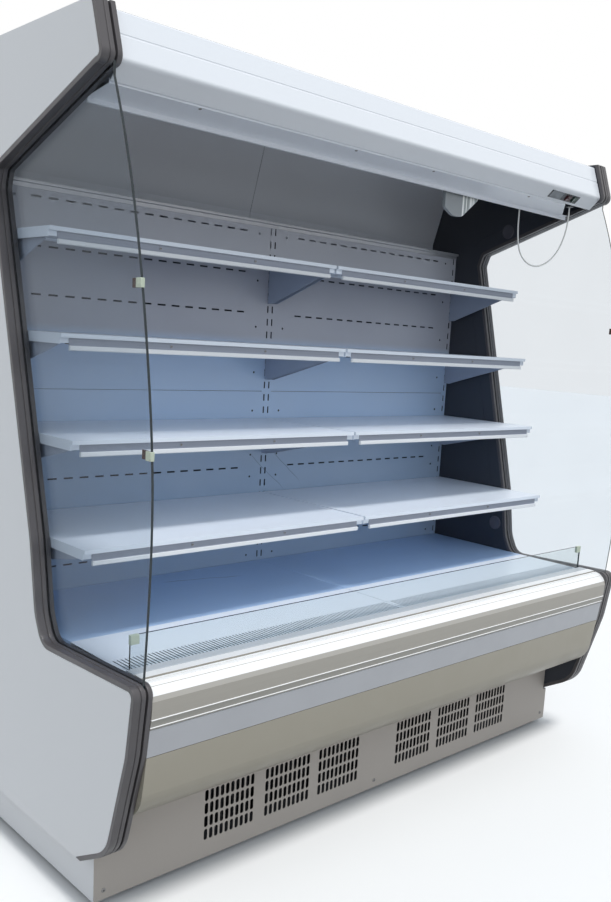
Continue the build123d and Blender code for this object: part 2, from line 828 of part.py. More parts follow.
def screws():
    """Plinth screws, canopy screws and the round caps inside the end panels."""
    heads = []
    for x in plinth_screws:
        place = Pos(x, y_wall - plinth_depth - 1.2, plinth_screw_height) * Rot(90, 0, 0)
        heads.append(place * Cylinder(6, 2.4))
    for depth, height in panel_caps:
        cap = Pos(half_inner - 1.5, *at(depth, height)) * Rot(0, 90, 0) * Cylinder(cap_radius, 3)
        heads += [cap, mirrored(cap)]
    for x in canopy_screws:
        near = cover_point(0.08)
        head = Pos(x, near[0], near[1]) * Rot(degrees(cover_slope), 0, 0) * Cylinder(screw_head_radius, 3.2)
        heads.append(head - cover_slab())
    return group(heads)


# ---------------------------------------------------------------- canopy


def control_plane(x):
    """Plane on the canopy's return at the controls, normal pointing out and down."""
    run = (canopy_bottom_depth - return_depth) / slope_length
    drop = (canopy_bottom - return_height) / slope_length
    return Plane(
        origin=(x, y_wall - control_middle[0], control_middle[1]), x_dir=(1, 0, 0), z_dir=(0, -drop, -run),
    )


def canopy_fascia():
    """Folded canopy front with its sloping return, a fine groove and the control cut-out."""
    path = (
        (roof_front + 1, canopy_top), (canopy_top_depth, canopy_top), (canopy_bottom_depth, canopy_bottom),
        (return_depth, return_height), (return_depth, return_height + 10),
    )
    near, far = strip_sides(path, canopy_sheet)
    corners = [*near, *reversed(far)]
    radii = (0.3, 6, 12, 3, 0.3, 0.3, 3 - canopy_sheet, 12 - canopy_sheet, 6 - canopy_sheet, 0.3)
    body = along(make_face(FilletPolyline(*corners, radius=radii, close=True)), -canopy_ends, canopy_ends)
    body += block(-canopy_ends, canopy_ends, roof_front, roof_front + 1 + canopy_sheet, 2015, canopy_top)
    groove = Pos(0, *at(canopy_groove_depth, canopy_groove_height)) * Rot(0, 90, 0)
    body -= groove * Cylinder(canopy_groove_radius, 2 * canopy_ends + 2)
    middle = control_plane((control_start + control_end) / 2)
    body -= extrude(middle * Rectangle(control_end - control_start, control_width), amount=20, both=True)
    return body


def cover_point(share):
    """Point on the cover's underside, share of the way from its front to its rear lip."""
    depth = cover_front_depth + (cover_lip_depth - cover_front_depth) * share
    height = return_height + (cover_lip_top - return_height) * share
    return at(depth, height)


def cover_slab():
    path = (
        (cover_front_depth, return_height + 10), (cover_front_depth, return_height),
        (cover_lip_depth, cover_lip_top), (cover_lip_depth, cover_height), (cover_depth, cover_height),
        (cover_depth, cover_height + cover_lip),
    )
    return folded(path, sheet, -canopy_ends, canopy_ends)


def canopy_inner_cover():
    """Inner cover behind the return, notched at the right end beside the controls."""
    (x_1, d_1), (x_2, d_2) = cover_notch
    corner = Polyline(
        (x_1, y_wall - d_1), (half_inner, y_wall - d_1), (half_inner, y_wall - d_2), (x_2, y_wall - d_2),
        close=True,
    )
    notch = extrude(Plane.XY.offset(cover_height - 5) * make_face(corner), amount=60)
    return cover_slab() - notch


def air_honeycomb():
    """Grille of air cells between the inner cover and the roof."""
    rise = (honeycomb_front - honeycomb_rear) * honeycomb_rise
    body = bar((
        (honeycomb_front, honeycomb_bottom), (honeycomb_rear, honeycomb_bottom + rise),
        (honeycomb_rear, honeycomb_bottom + rise + honeycomb_height),
        (honeycomb_front, honeycomb_bottom + honeycomb_height),
    ), -half_inner, half_inner)
    pitch_x = 2 * half_inner / honeycomb_columns
    pitch_y = (honeycomb_front - honeycomb_rear) / honeycomb_rows
    cells = Sketch()
    for column in range(honeycomb_columns):
        for row in range(honeycomb_rows):
            x = -half_inner + (column + 0.5) * pitch_x
            y = y_wall - honeycomb_front + (row + 0.5) * pitch_y
            cells += Pos(x, y) * Rectangle(pitch_x - 4, pitch_y - 4)
    return body - extrude(Plane.XY.offset(honeycomb_bottom - 10) * cells, amount=90)


def driver_housing(top):
    """Flat housing of the lamp's driver, hung from the lamp channel behind the cover's lip."""
    left = driver_corners[0][0]
    right = driver_corners[-1][0]
    corners = ((left, top), *driver_corners, (right, top))
    section = make_face(FilletPolyline(*corners, radius=(0.5, *driver_radii, 0.5), close=True))
    front, back = y_wall - driver_depths[1], y_wall - driver_depths[0]
    return extrude(Plane.XZ.offset(-back) * section, amount=back - front)


def canopy_lamp():
    """Lamp channel under the roof with two holders, a tube, and the lead's gland."""
    roof_bottom = cabinet_height - roof_thickness
    channel = block(
        -lamp_half_length, lamp_half_length, lamp_depth - 20, lamp_depth + 20, roof_bottom - 20, roof_bottom,
    )
    tube_height = roof_bottom - 42
    half_tube = lamp_half_length - 60
    for side in (-1, 1):
        ends = sorted((side * half_tube, side * (half_tube + 18)))
        channel += block(
            ends[0], ends[1], lamp_depth - 10, lamp_depth + 10, tube_height - 10, roof_bottom - 15,
        )
    tube = Pos(0, y_wall - lamp_depth, tube_height) * Rot(0, 90, 0) * Cylinder(tube_radius, 2 * half_tube)
    gland = Pos(lead_end_x, y_wall - lamp_depth, roof_bottom - 25.8) * Cylinder(5, 11.6)
    return group((channel, tube, gland, driver_housing(roof_bottom - 20)))


def controller():
    """Control housing in the canopy's return: display window, two rocker pockets, lead gland."""
    middle = control_plane((control_start + control_end) / 2)
    length = control_end - control_start - 1
    width = control_width - 1
    housing = extrude(middle * Rectangle(length, width), amount=-control_back)
    housing += extrude(middle * Rectangle(length, width), amount=1.0)
    for x in rocker_middles:
        pocket = Rectangle(rocker_length + 3, rocker_width + 1.2)
        housing -= extrude(control_plane(x) * pocket, amount=20, both=True)
        bore = Cylinder(trunnion_radius + pin_clearance, rocker_width + 5.4)
        housing -= control_plane(x).location * Pos(0, 0, -rocker_pivot) * Rot(90, 0, 0) * bore
    window = Rectangle(66, 20)
    housing -= extrude(control_plane(control_start + 38) * window, amount=1.01)
    display = extrude(control_plane(control_start + 38) * Rectangle(65.6, 19.6), amount=0.6)
    gland = block(*gland_block[:2], *gland_block[2:4], *gland_block[4:])
    return group((housing, display, gland))


def rocker(x):
    """Rocker cap with its trunnion, tipped to its resting side."""
    plane = control_plane(x)
    half = rocker_length / 2
    section = make_face(Polyline(
        (-half, -6), (-half, 4), (0, 1.6), (half, 4), (half, -6), (4, -12), (-4, -12), close=True,
    ))
    local = Plane(origin=(0, rocker_width / 2, 0), x_dir=(1, 0, 0), z_dir=(0, -1, 0))
    cap = extrude(local * section, amount=rocker_width)
    cap += Pos(0, 0, -rocker_pivot) * Rot(90, 0, 0) * Cylinder(trunnion_radius, rocker_width + 5)
    tipped = Pos(0, 0, -rocker_pivot) * Rot(0, rocker_tilt, 0) * Pos(0, 0, rocker_pivot) * cap
    return plane.location * tipped


# ---------------------------------------------------------------- lamp lead


def lamp_lead():
    """White lead hanging in a loop from the controls to the lamp."""
    points = [Vector(x, y_wall - depth, z) for x, depth, z in lead_route]
    radii = []
    for before, here, after in zip(points, points[1:], points[2:]):
        first = here - before
        second = after - here
        turn = radians(first.get_angle(second))
        radii.append(0.45 * min(first.length, second.length) / tan(max(turn, 0.002) / 2))
    print("lead radii", [round(r) for r in radii])
    path = FilletPolyline(*points, radius=radii)
    start = Plane(origin=points[0], z_dir=points[1] - points[0])
    lead = sweep(start * Circle(lead_radius), path=path)
    share = lead.volume / (pi * lead_radius**2 * path.length)
    print("lead length", round(path.length, 1), "volume share", round(share, 4))
    return lead


# ---------------------------------------------------------------- cooling unit
def fan(radius, hub, blades, thickness):
    """Axial rotor about Z with twisted blades."""
    rotor = Cylinder(hub, thickness)
    for k in range(blades):
        blade = Pos((hub + radius) / 2 - 2, 0, 0) * Rot(32, 0, 0) * Box(radius - hub, hub * 1.3, 2)
        rotor += Rot(0, 0, k * 360 / blades) * blade
    rotor = rotor & Cylinder(radius, thickness * 2)
    return rotor - Cylinder(shaft_radius + pin_clearance, thickness * 2)


def facing_front(x, depth, height):
    """Location whose Z axis points to the front."""
    return Location(Plane(origin=(x, y_wall - depth, height), x_dir=(1, 0, 0), z_dir=(0, -1, 0)))


def evaporator_fan_plate():
    """Bulkhead under the deck: carries the deck pans, the grilles and the fan motors."""
    ends = half_inner - trim_lip - clearance
    path = (
        (fan_plate_depth, tub_bottom + tub_wall), (fan_plate_depth, deck_seat), (deck_depth + 24, deck_seat),
    )
    body = folded(path, heavy_sheet, -ends, ends)
    for x in evaporator_fans:
        ring = facing_front(x, fan_plate_depth + 5, fan_height)
        body -= ring * Cylinder(fan_radius + fan_gap, 40)
        spider_depth = fan_plate_depth - 38
        motor = facing_front(x, spider_depth, fan_height) * Cylinder(motor_radius, 30)
        shaft_end = fan_plate_depth + fan_thickness / 2
        shaft_middle = (spider_depth + shaft_end) / 2
        motor += facing_front(x, shaft_middle, fan_height) * Cylinder(shaft_radius, shaft_end - spider_depth)
        for angle in (0, 120, 240):
            arm = Rot(0, 0, angle) * Pos(0, 72, 0) * Box(10, 116, 4)
            motor += facing_front(x, spider_depth, fan_height) * arm
            post = Rot(0, 0, angle) * Pos(0, 125, 18) * Box(10, 10, 40)
            motor += facing_front(x, spider_depth, fan_height) * post
        body += motor
    return body


def coil(x_from, x_to, d_from, d_to, z_from, z_to, fins, tube_grid):
    """Finned coil: plates on straight tubes."""
    body = Part()
    step = (x_to - x_from) / (fins - 1)
    for k in range(fins):
        x = x_from + k * step
        body += block(x - 0.8, x + 0.8, d_from, d_to, z_from, z_to)
    columns, rows = tube_grid
    for i in range(columns):
        for j in range(rows):
            depth = d_from + (i + 0.5) * (d_to - d_from) / columns
            height = z_from + (j + 0.5) * (z_to - z_from) / rows
            place = Pos((x_from + x_to) / 2, *at(depth, height)) * Rot(0, 90, 0)
            body += place * Cylinder(5, x_to - x_from + 1.6)
    return body


def evaporator_coil():
    body = coil(*evaporator_box, evaporator_fins, (3, 2))
    x_from, x_to, d_from, d_to, z_from, z_to = evaporator_box
    for x in (x_from, x_to):
        body += block(x - 1.5, x + 1.5, d_from, d_to, tub_bottom + tub_wall, z_to)
    return body


def condenser():
    x_from, x_to, d_from, d_to, z_from, z_to = condenser_box
    body = coil(x_from, x_to, d_from, d_to, unit_plate_top, z_to, condenser_fins, (2, 4))
    shroud = block(x_from, x_to, condenser_fan_depth - 4, d_from, unit_plate_top, z_to)
    shroud -= block(
        x_from + 2, x_to - 2, condenser_fan_depth - 2, d_from + 1, unit_plate_top + 2, z_to - 2,
    )
    hole = facing_front(condenser_middle, condenser_fan_depth - 3, condenser_fan_height)
    shroud -= hole * Cylinder(condenser_fan_radius + fan_gap - 1, 20)
    motor_place = facing_front(condenser_middle, condenser_fan_depth - 48, condenser_fan_height)
    motor = motor_place * Cylinder(motor_radius, 40)
    motor += block(
        condenser_middle - 8, condenser_middle + 8, condenser_fan_depth - 66, condenser_fan_depth - 30,
        unit_plate_top, condenser_fan_height - motor_radius + 3,
    )
    shaft_end = condenser_fan_depth + fan_thickness / 2
    shaft_start = condenser_fan_depth - 48
    shaft_place = facing_front(condenser_middle, (shaft_start + shaft_end) / 2, condenser_fan_height)
    motor += shaft_place * Cylinder(shaft_radius, shaft_end - shaft_start)
    return group((body, shroud, motor))


def compressor():
    """Hermetic compressor: domed shell on a base plate with rubber feet."""
    x, depth = compressor_place
    shell = Pos(0, 0, compressor_height / 2 + 14) * Cylinder(compressor_radius, compressor_height)
    shell = fillet(shell.edges().filter_by(GeomType.CIRCLE), 28)
    shell += Pos(0, 0, 14) * Box(200, 170, 4)
    for dx in (-85, 85):
        for dy in (-70, 70):
            shell += Pos(dx, dy, 6) * Cylinder(10, 12)
    shell += Pos(compressor_radius + 8, 0, 90) * Box(36, 50, 50)
    return Pos(x, y_wall - depth, unit_plate_top) * shell


def pipe(points):
    path = FilletPolyline(*[(x, y_wall - d, z) for x, d, z in points], radius=22)
    start = Plane(origin=path @ 0, z_dir=path % 0)
    return sweep(start * Circle(pipe_radius), path=path)


def refrigerant_pipes():
    """Discharge, suction and liquid lines between compressor, condenser and evaporator."""
    x, depth = compressor_place
    front_of_shell = depth + compressor_radius
    coil_end = evaporator_box[1] + 1.5
    unit_end = condenser_box[1] + 0.8
    discharge = pipe((
        (x, front_of_shell - 1, 190), (x, 420, 190), (-50, 420, 190), (-50, 552, 190), (unit_end, 552, 190),
    ))
    suction = pipe((
        (coil_end, suction_hole[1], 360), (suction_hole[0], suction_hole[1], 360),
        (suction_hole[0], suction_hole[1], 130), (x + 60, suction_hole[1], 130), (x + 60, depth + 55, 130),
    ))
    liquid = pipe((
        (unit_end, 552, 110), (-50, 552, 110), (-50, 300, 110), (liquid_hole[0], 300, 110),
        (*liquid_hole, 110), (*liquid_hole, 420), (coil_end, liquid_hole[1], 420),
    ))
    return group((discharge, suction, liquid))


def drip_tray():
    """Condensate tray under the tub's drain, and the drain pipe."""
    tray_box = block(600, 880, 340, 520, unit_plate_top, unit_plate_top + 40)
    tray_box -= block(602, 878, 342, 518, unit_plate_top + 2, unit_plate_top + 41)
    x, depth = drain_hole
    floor_top = tub_bottom + tub_wall
    length = floor_top - unit_plate_top - 14
    wall = Cylinder(drain_radius, length) - Cylinder(drain_radius - 2, length + 2)
    tube = Pos(x, y_wall - depth, floor_top - length / 2) * wall
    return group((tray_box, tube))


right_panel = end_panel()
right_trim = end_trim()
right_glass = side_glass()
for side, place in (("right", lambda s: s), ("left", mirrored)):
    save(place(right_panel), f"end_panel_{side}")
    save(place(right_trim), f"end_trim_{side}")
    save(place(right_glass), f"side_glass_{side}")

save(insulated_body(), "insulated_body")
save(upper_baffles(), "upper_baffles")
save(back_panels(), "back_panels")
save(uprights(), "uprights")
save(wall_top_strip(), "wall_top_strip")
save(shelf_brackets(), "shelf_brackets")
for level, (depth, height) in enumerate(zip(shelf_depths, shelf_heights), 1):
    for bay, side in enumerate(("left", "right")):
        start, end = bay_ends(bay)
        save(tray(start + shelf_end_gap, end - shelf_end_gap, depth, height), f"shelf_{level}_{side}")
        rail_inset = shelf_end_gap + rail_end_gap
        rail = ticket_rail(start + rail_inset, end - rail_inset, depth, height)
        save(rail, f"ticket_rail_{level}_{side}")
for bay, side in enumerate(("left", "right")):
    start, end = bay_ends(bay)
    outer = trim_lip + clearance
    deck_from = start + (outer if bay == 0 else clearance)
    deck_to = end - (clearance if bay == 0 else outer)
    save(pan(deck_from, deck_to), f"deck_pan_{side}")
    save(return_grille(deck_from, deck_to), f"return_grille_{side}")
save(riser_channel(), "riser_channel")
save(riser_glass(), "riser_glass")
save(glass_clips(), "glass_clips")
save(bumper_rail(), "bumper_rail")
save(bumper_insert(), "bumper_insert")
save(lower_panel(), "lower_panel")
save(plinth_front(), "plinth_front")
save(plinth_sides(), "plinth_sides")
save(base_frame(), "base_frame")
save(levelling_feet(), "levelling_feet")
save(screws(), "screws")
save(canopy_fascia(), "canopy_fascia")
save(canopy_inner_cover(), "canopy_inner_cover")
save(air_honeycomb(), "air_honeycomb")
save(canopy_lamp(), "canopy_lamp")
save(controller(), "controller")
save(rocker(rocker_middles[0]), "rocker_power")
save(rocker(rocker_middles[1]), "rocker_light")
save(lamp_lead(), "lamp_lead")
save(evaporator_coil(), "evaporator_coil")
save(evaporator_fan_plate(), "evaporator_fan_plate")
for x, side in zip(evaporator_fans, ("left", "right")):
    place = facing_front(x, fan_plate_depth, fan_height)
    save(place * fan(fan_radius, fan_hub_radius, 5, fan_thickness), f"evaporator_fan_{side}")
save(condenser(), "condenser")
condenser_place = facing_front(condenser_middle, condenser_fan_depth, condenser_fan_height)
save(condenser_place * fan(condenser_fan_radius, fan_hub_radius, 5, fan_thickness), "condenser_fan")
save(compressor(), "compressor")
save(refrigerant_pipes(), "refrigerant_pipes")
save(drip_tray(), "drip_tray")
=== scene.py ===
from math import cos, pi, radians, sin

import bmesh
import bpy
from mathutils import Matrix, Vector


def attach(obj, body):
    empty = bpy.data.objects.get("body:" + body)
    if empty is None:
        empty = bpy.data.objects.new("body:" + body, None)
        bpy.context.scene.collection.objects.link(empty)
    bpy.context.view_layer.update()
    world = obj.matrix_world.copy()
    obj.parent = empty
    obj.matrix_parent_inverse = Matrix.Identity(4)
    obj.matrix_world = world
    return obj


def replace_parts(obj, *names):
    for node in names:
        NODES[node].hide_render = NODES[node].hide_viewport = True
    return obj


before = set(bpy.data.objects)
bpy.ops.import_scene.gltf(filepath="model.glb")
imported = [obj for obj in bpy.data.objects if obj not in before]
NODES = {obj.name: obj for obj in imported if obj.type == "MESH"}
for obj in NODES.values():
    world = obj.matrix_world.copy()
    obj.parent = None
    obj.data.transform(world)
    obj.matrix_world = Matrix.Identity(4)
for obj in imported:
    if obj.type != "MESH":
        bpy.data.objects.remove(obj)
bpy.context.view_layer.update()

# ---------------------------------------------------------------- sizes, metres
WALL_Y = 0.316                # face of the slotted back wall
INNER_X = 0.9375              # inner face of an end panel
LEAD_RADIUS = 0.0025
WELD_DISTANCE = 0.00002       # mesh corners closer than this are one


def at(x, depth, height):
    """Point given in millimetres: X, depth in front of the wall's face, height."""
    return Vector((x / 1000, WALL_Y - depth / 1000, height / 1000))


# ---------------------------------------------------------------- camera
# place and axes solved from the photograph; pixels are those of the photograph
PHOTO_WIDTH = 611
PHOTO_HEIGHT = 902
FOCAL_PIXELS = 922.5
CENTRE_PIXEL = (350.0, 503.8)
SENSOR = 36.0
CAMERA_PLACE = (-1.98265, -2.11244, 1.38937)
CAMERA_RIGHT = Vector((0.715643, -0.695795, 0.061029))
CAMERA_DOWN = Vector((-0.076328, -0.164758, -0.983376))
CAMERA_FORWARD = Vector((0.694284, 0.699088, -0.171016))


def make_camera():
    data = bpy.data.cameras.new("photo_camera")
    data.sensor_width = SENSOR
    data.lens = FOCAL_PIXELS * SENSOR / PHOTO_HEIGHT
    data.shift_x = -(CENTRE_PIXEL[0] - PHOTO_WIDTH / 2) / PHOTO_HEIGHT
    data.shift_y = (CENTRE_PIXEL[1] - PHOTO_HEIGHT / 2) / PHOTO_HEIGHT
    data.clip_start = 0.05
    camera = bpy.data.objects.new("photo_camera", data)
    bpy.context.scene.collection.objects.link(camera)
    turn = Matrix((CAMERA_RIGHT, -CAMERA_DOWN, -CAMERA_FORWARD)).transposed()
    camera.matrix_world = Matrix.Translation(CAMERA_PLACE) @ turn.to_4x4()
    bpy.context.scene.camera = camera


make_camera()


# ---------------------------------------------------------------- colours and materials
def colour(red, green, blue):
    """Linear colour from 0 to 255 display values."""
    def linear(value):
        value /= 255
        return value / 12.92 if value <= 0.04045 else ((value + 0.055) / 1.055) ** 2.4
    return (linear(red), linear(green), linear(blue), 1.0)


def scaled(tone, factor):
    return (*[min(1.0, c * factor) for c in tone[:3]], 1.0)


class Nodes:
    """A material being built: short calls for the nodes that the finishes share."""

    def __init__(self, name):
        self.material = bpy.data.materials.new(name)
        self.material.use_nodes = True
        self.tree = self.material.node_tree
        self.tree.nodes.clear()
        self.output = self.add("ShaderNodeOutputMaterial")

    def add(self, kind, **settings):
        node = self.tree.nodes.new(kind)
        for key, value in settings.items():
            if key in node.inputs:
                node.inputs[key].default_value = value
            else:
                setattr(node, key, value)
        return node

    def link(self, source, target):
        self.tree.links.new(source, target)
        return source

    def position(self):
        return self.add("ShaderNodeTexCoord").outputs["Object"]

    def facing(self, axis):
        split = self.add("ShaderNodeSeparateXYZ")
        self.link(self.add("ShaderNodeNewGeometry").outputs["True Normal"], split.inputs[0])
        return split.outputs[axis]

    def between(self, value, low, high, edge=0.0004):
        """One where the value is between two limits, else nought."""
        above = self.spread(value, low - edge, low + edge)
        below = self.spread(value, high - edge, high + edge, 1.0, 0.0)
        return self.maths("MULTIPLY", above, below)

    def axis(self, name):
        split = self.add("ShaderNodeSeparateXYZ")
        self.link(self.position(), split.inputs[0])
        return split.outputs[name]

    def stretched(self, scale):
        mapping = self.add("ShaderNodeMapping")
        mapping.inputs["Scale"].default_value = scale
        self.link(self.position(), mapping.inputs["Vector"])
        return mapping.outputs[0]

    def noise(self, scale, detail=3.0, stretch=(1, 1, 1)):
        texture = self.add("ShaderNodeTexNoise", Scale=scale, Detail=detail)
        self.link(self.stretched(stretch), texture.inputs["Vector"])
        return texture.outputs["Fac"]

    def spread(self, value, low, high, out_low=0.0, out_high=1.0, smooth=True):
        ramp = self.add("ShaderNodeMapRange")
        ramp.interpolation_type = "SMOOTHSTEP" if smooth else "LINEAR"
        self.link(value, ramp.inputs[0])
        for index, number in enumerate((low, high, out_low, out_high), 1):
            ramp.inputs[index].default_value = number
        return ramp.outputs[0]

    def mix(self, factor, first, second):
        node = self.add("ShaderNodeMix")
        node.data_type = "RGBA"
        self.link(factor, node.inputs[0])
        for index, tone in ((6, first), (7, second)):
            if isinstance(tone, tuple):
                node.inputs[index].default_value = tone
            else:
                self.link(tone, node.inputs[index])
        return node.outputs[2]

    def maths(self, operation, first, second):
        node = self.add("ShaderNodeMath", operation=operation)
        for index, value in enumerate((first, second)):
            if isinstance(value, (int, float)):
                node.inputs[index].default_value = value
            else:
                self.link(value, node.inputs[index])
        return node.outputs[0]

    def bump(self, height, strength, distance):
        node = self.add("ShaderNodeBump", Strength=strength, Distance=distance)
        self.link(height, node.inputs["Height"])
        return node.outputs["Normal"]

    def shader(self, tone, roughness, normal=None, **settings):
        node = self.add("ShaderNodeBsdfPrincipled", **settings)
        for socket, value in (("Base Color", tone), ("Roughness", roughness)):
            if isinstance(value, (int, float, tuple)):
                node.inputs[socket].default_value = value
            else:
                self.link(value, node.inputs[socket])
        if normal is not None:
            self.link(normal, node.inputs["Normal"])
        return node.outputs[0]

    def finish(self, shader):
        self.link(shader, self.output.inputs["Surface"])
        return self.material


def mottled(nodes, tone, amount, scale=3.0):
    """The tone with soft large patches and a little fine grain."""
    broad = nodes.spread(nodes.noise(scale), 0.35, 0.65)
    fine = nodes.spread(nodes.noise(scale * 40), 0.3, 0.7)
    first = nodes.mix(broad, scaled(tone, 1 - amount), scaled(tone, 1 + amount))
    second = nodes.mix(broad, scaled(tone, 1 - amount * 1.4), scaled(tone, 1 + amount * 0.6))
    return nodes.mix(fine, first, second)


def enamel(name, tone, roughness=0.32, amount=0.02, coat=0.0):
    """Powder-coated sheet: a faint unevenness and slight changes of gloss."""
    nodes = Nodes(name)
    shine = nodes.spread(nodes.noise(5.0), 0.3, 0.7, roughness - 0.01, roughness + 0.02)
    normal = nodes.bump(nodes.noise(3.0, 1.0), 0.03, 0.002)
    body = nodes.shader(mottled(nodes, tone, amount), shine, normal, **{"Coat Weight": coat})
    return nodes.finish(body)


def plastic(name, tone, roughness=0.45, amount=0.03, grain=900.0, depth=0.0003):
    nodes = Nodes(name)
    shine = nodes.spread(nodes.noise(25.0), 0.3, 0.7, roughness - 0.06, roughness + 0.08)
    normal = nodes.bump(nodes.noise(grain, 2.0), 0.12, depth)
    return nodes.finish(nodes.shader(mottled(nodes, tone, amount, 8.0), shine, normal))


def drawn_metal(name, tone, roughness=0.3, metallic=0.9, along=(0.02, 1, 1), amount=0.05):
    """Extruded or brushed metal: fine lines along the piece."""
    nodes = Nodes(name)
    lines = nodes.noise(900.0, 2.0, along)
    shade = nodes.mix(nodes.spread(lines, 0.3, 0.7), scaled(tone, 1 - amount), scaled(tone, 1 + amount))
    shine = nodes.spread(lines, 0.3, 0.7, roughness - 0.06, roughness + 0.08)
    normal = nodes.bump(lines, 0.06, 0.0002)
    return nodes.finish(nodes.shader(shade, shine, normal, Metallic=metallic))


def wall_enamel():
    """Wall sheets: four bands of tone between the shelves, matched to the photograph's brightness, so they
    are partly the blue film on the lower sheets and partly painted shade.
    """
    nodes = Nodes("wall_enamel")
    height = nodes.axis("Z")
    tone = WALL_DIM
    for low, high, above in WALL_FILM_AND_SHADE_BANDS:
        tone = nodes.mix(nodes.spread(height, low, high), tone, above)
    broad = nodes.spread(nodes.noise(2.2, 2.0, (1, 1, 2.5)), 0.35, 0.65)
    shade = nodes.mix(nodes.maths("MULTIPLY", broad, 0.06), tone, END_WHITE)
    # folds in the film: darker lines of painted crease shade
    for place in WALL_FOLD_SHADES:
        shade = nodes.mix(fold_shade_line(nodes, *place), shade, scaled(WALL_BLUE, 0.45))
    # faces across the sheet, the cut edges of the slots, take a dark tone: painted shade in the slots
    flat = nodes.spread(nodes.maths("ABSOLUTE", nodes.facing("Y"), 0.0), 0.5, 0.9)
    shade = nodes.mix(flat, SLOT_EDGE_SHADE, shade)
    shine = nodes.spread(nodes.noise(6.0), 0.3, 0.7, 0.32, 0.40)
    normal = nodes.bump(nodes.noise(7.0, 2.0, (0.4, 1, 1.6)), 0.03, 0.002)
    return nodes.finish(nodes.shader(shade, shine, normal))


def fold_shade_line(nodes, across, along_axis, start, end, slope, width=0.0016):
    """A fine fold in the film, drawn as a slightly wavy line of painted crease shade from start to end
    along one axis.
    """
    run = nodes.axis(along_axis)
    wave = nodes.spread(nodes.noise(9.0, 2.0), 0.2, 0.8, -0.012, 0.012, smooth=False)
    other = nodes.axis("Y" if along_axis == "X" else "X")
    line = nodes.maths("MULTIPLY", nodes.maths("SUBTRACT", run, start), slope)
    off = nodes.maths("SUBTRACT", nodes.maths("SUBTRACT", other, across), line)
    off = nodes.maths("ABSOLUTE", nodes.maths("ADD", off, wave), 0.0)
    near = nodes.spread(off, width * 0.3, width, 1.0, 0.0)
    return nodes.maths("MULTIPLY", near, nodes.between(run, start, end, 0.02))


def deck_film():
    """Deck pans under what is read as blue protective film, with one long crease drawn as painted shade."""
    nodes = Nodes("deck_film")
    creases = nodes.noise(3.0, 4.0, (0.6, 2.2, 1))
    shade = nodes.mix(nodes.spread(creases, 0.3, 0.7), scaled(DECK_BLUE, 0.98), scaled(DECK_BLUE, 1.02))
    # the fold: a darker line of painted crease shade
    for place in DECK_FOLD_SHADES:
        shade = nodes.mix(fold_shade_line(nodes, *place), shade, scaled(DECK_BLUE, 0.55))
    shine = nodes.spread(nodes.noise(5.0), 0.3, 0.7, 0.28, 0.34)
    normal = nodes.bump(creases, 0.05, 0.002)
    return nodes.finish(nodes.shader(shade, shine, normal))


def end_enamel():
    """End panels: white outside, dark navy liner on the face towards the goods."""
    nodes = Nodes("end_enamel")
    across = nodes.maths("ABSOLUTE", nodes.axis("X"), 0.0)
    skin_limits = [INNER_X + depth for depth in LINER_DEPTH]
    outside = nodes.spread(across, *skin_limits, smooth=False)
    broad = nodes.spread(nodes.noise(1.6, 2.0), 0.3, 0.7)
    liner = nodes.mix(broad, scaled(NAVY, 0.97), scaled(NAVY, 1.05))
    skin = nodes.mix(broad, scaled(END_WHITE, 0.995), END_WHITE)
    shade = nodes.mix(outside, liner, skin)
    shine = nodes.spread(nodes.noise(5.0), 0.3, 0.7, 0.30, 0.34)
    normal = nodes.bump(nodes.noise(3.0, 1.0), 0.03, 0.002)
    return nodes.finish(nodes.shader(shade, shine, normal))


def lower_enamel():
    """Lower panel: warm beige satin, darker towards the plinth."""
    nodes = Nodes("lower_enamel")
    low = nodes.spread(nodes.axis("Z"), *PANEL_HEIGHTS)
    shade = nodes.mix(low, scaled(PANEL_BEIGE, 0.95), scaled(PANEL_BEIGE, 1.14))
    streaks = nodes.spread(nodes.noise(4.0, 2.0, (0.15, 1, 1)), 0.3, 0.7, 0.0, 0.3)
    shade = nodes.mix(streaks, shade, PANEL_BEIGE)
    shine = nodes.spread(nodes.noise(14.0), 0.3, 0.7, 0.3, 0.42)
    normal = nodes.bump(nodes.noise(800.0, 1.0), 0.04, 0.0003)
    return nodes.finish(nodes.shader(shade, shine, normal, Metallic=0.15))


def bumper_metal():
    """Bumper: upward faces white as a painted highlight, beige-grey face with two ribs painted white as
    highlights, fine lines along it.
    """
    nodes = Nodes("bumper_metal")
    # faces turned up take the white: painted highlight from the light above
    top = nodes.spread(nodes.facing("Z"), 0.2, 0.4)
    height = nodes.axis("Z")
    lines = nodes.spread(nodes.noise(700.0, 2.0, (0.004, 1, 1)), 0.3, 0.7)
    long_tone = nodes.spread(nodes.noise(2.0, 2.0, (0.6, 1, 1)), 0.3, 0.7)
    face = nodes.mix(nodes.spread(height, *FACE_CHANGE), BAND_GREY, FACE_BEIGE)
    face = nodes.mix(lines, scaled(FACE_BEIGE, 0.97), face)
    white = nodes.mix(long_tone, scaled(BUMPER_LIT_WHITE, 0.97), BUMPER_LIT_WHITE)
    shade = nodes.mix(top, face, nodes.mix(lines, scaled(BUMPER_LIT_WHITE, 0.98), white))
    # white bands at the ribs: painted highlights
    for middle in RIB_HIGHLIGHT_HEIGHTS:
        shade = nodes.mix(nodes.between(height, middle - RIB_HIGHLIGHT_HALF, middle + RIB_HIGHLIGHT_HALF), shade, BUMPER_LIT_WHITE)
    shine = nodes.spread(lines, 0.0, 1.0, 0.28, 0.36)
    normal = nodes.bump(lines, 0.03, 0.0001)
    return nodes.finish(nodes.shader(shade, shine, normal, Metallic=0.15))


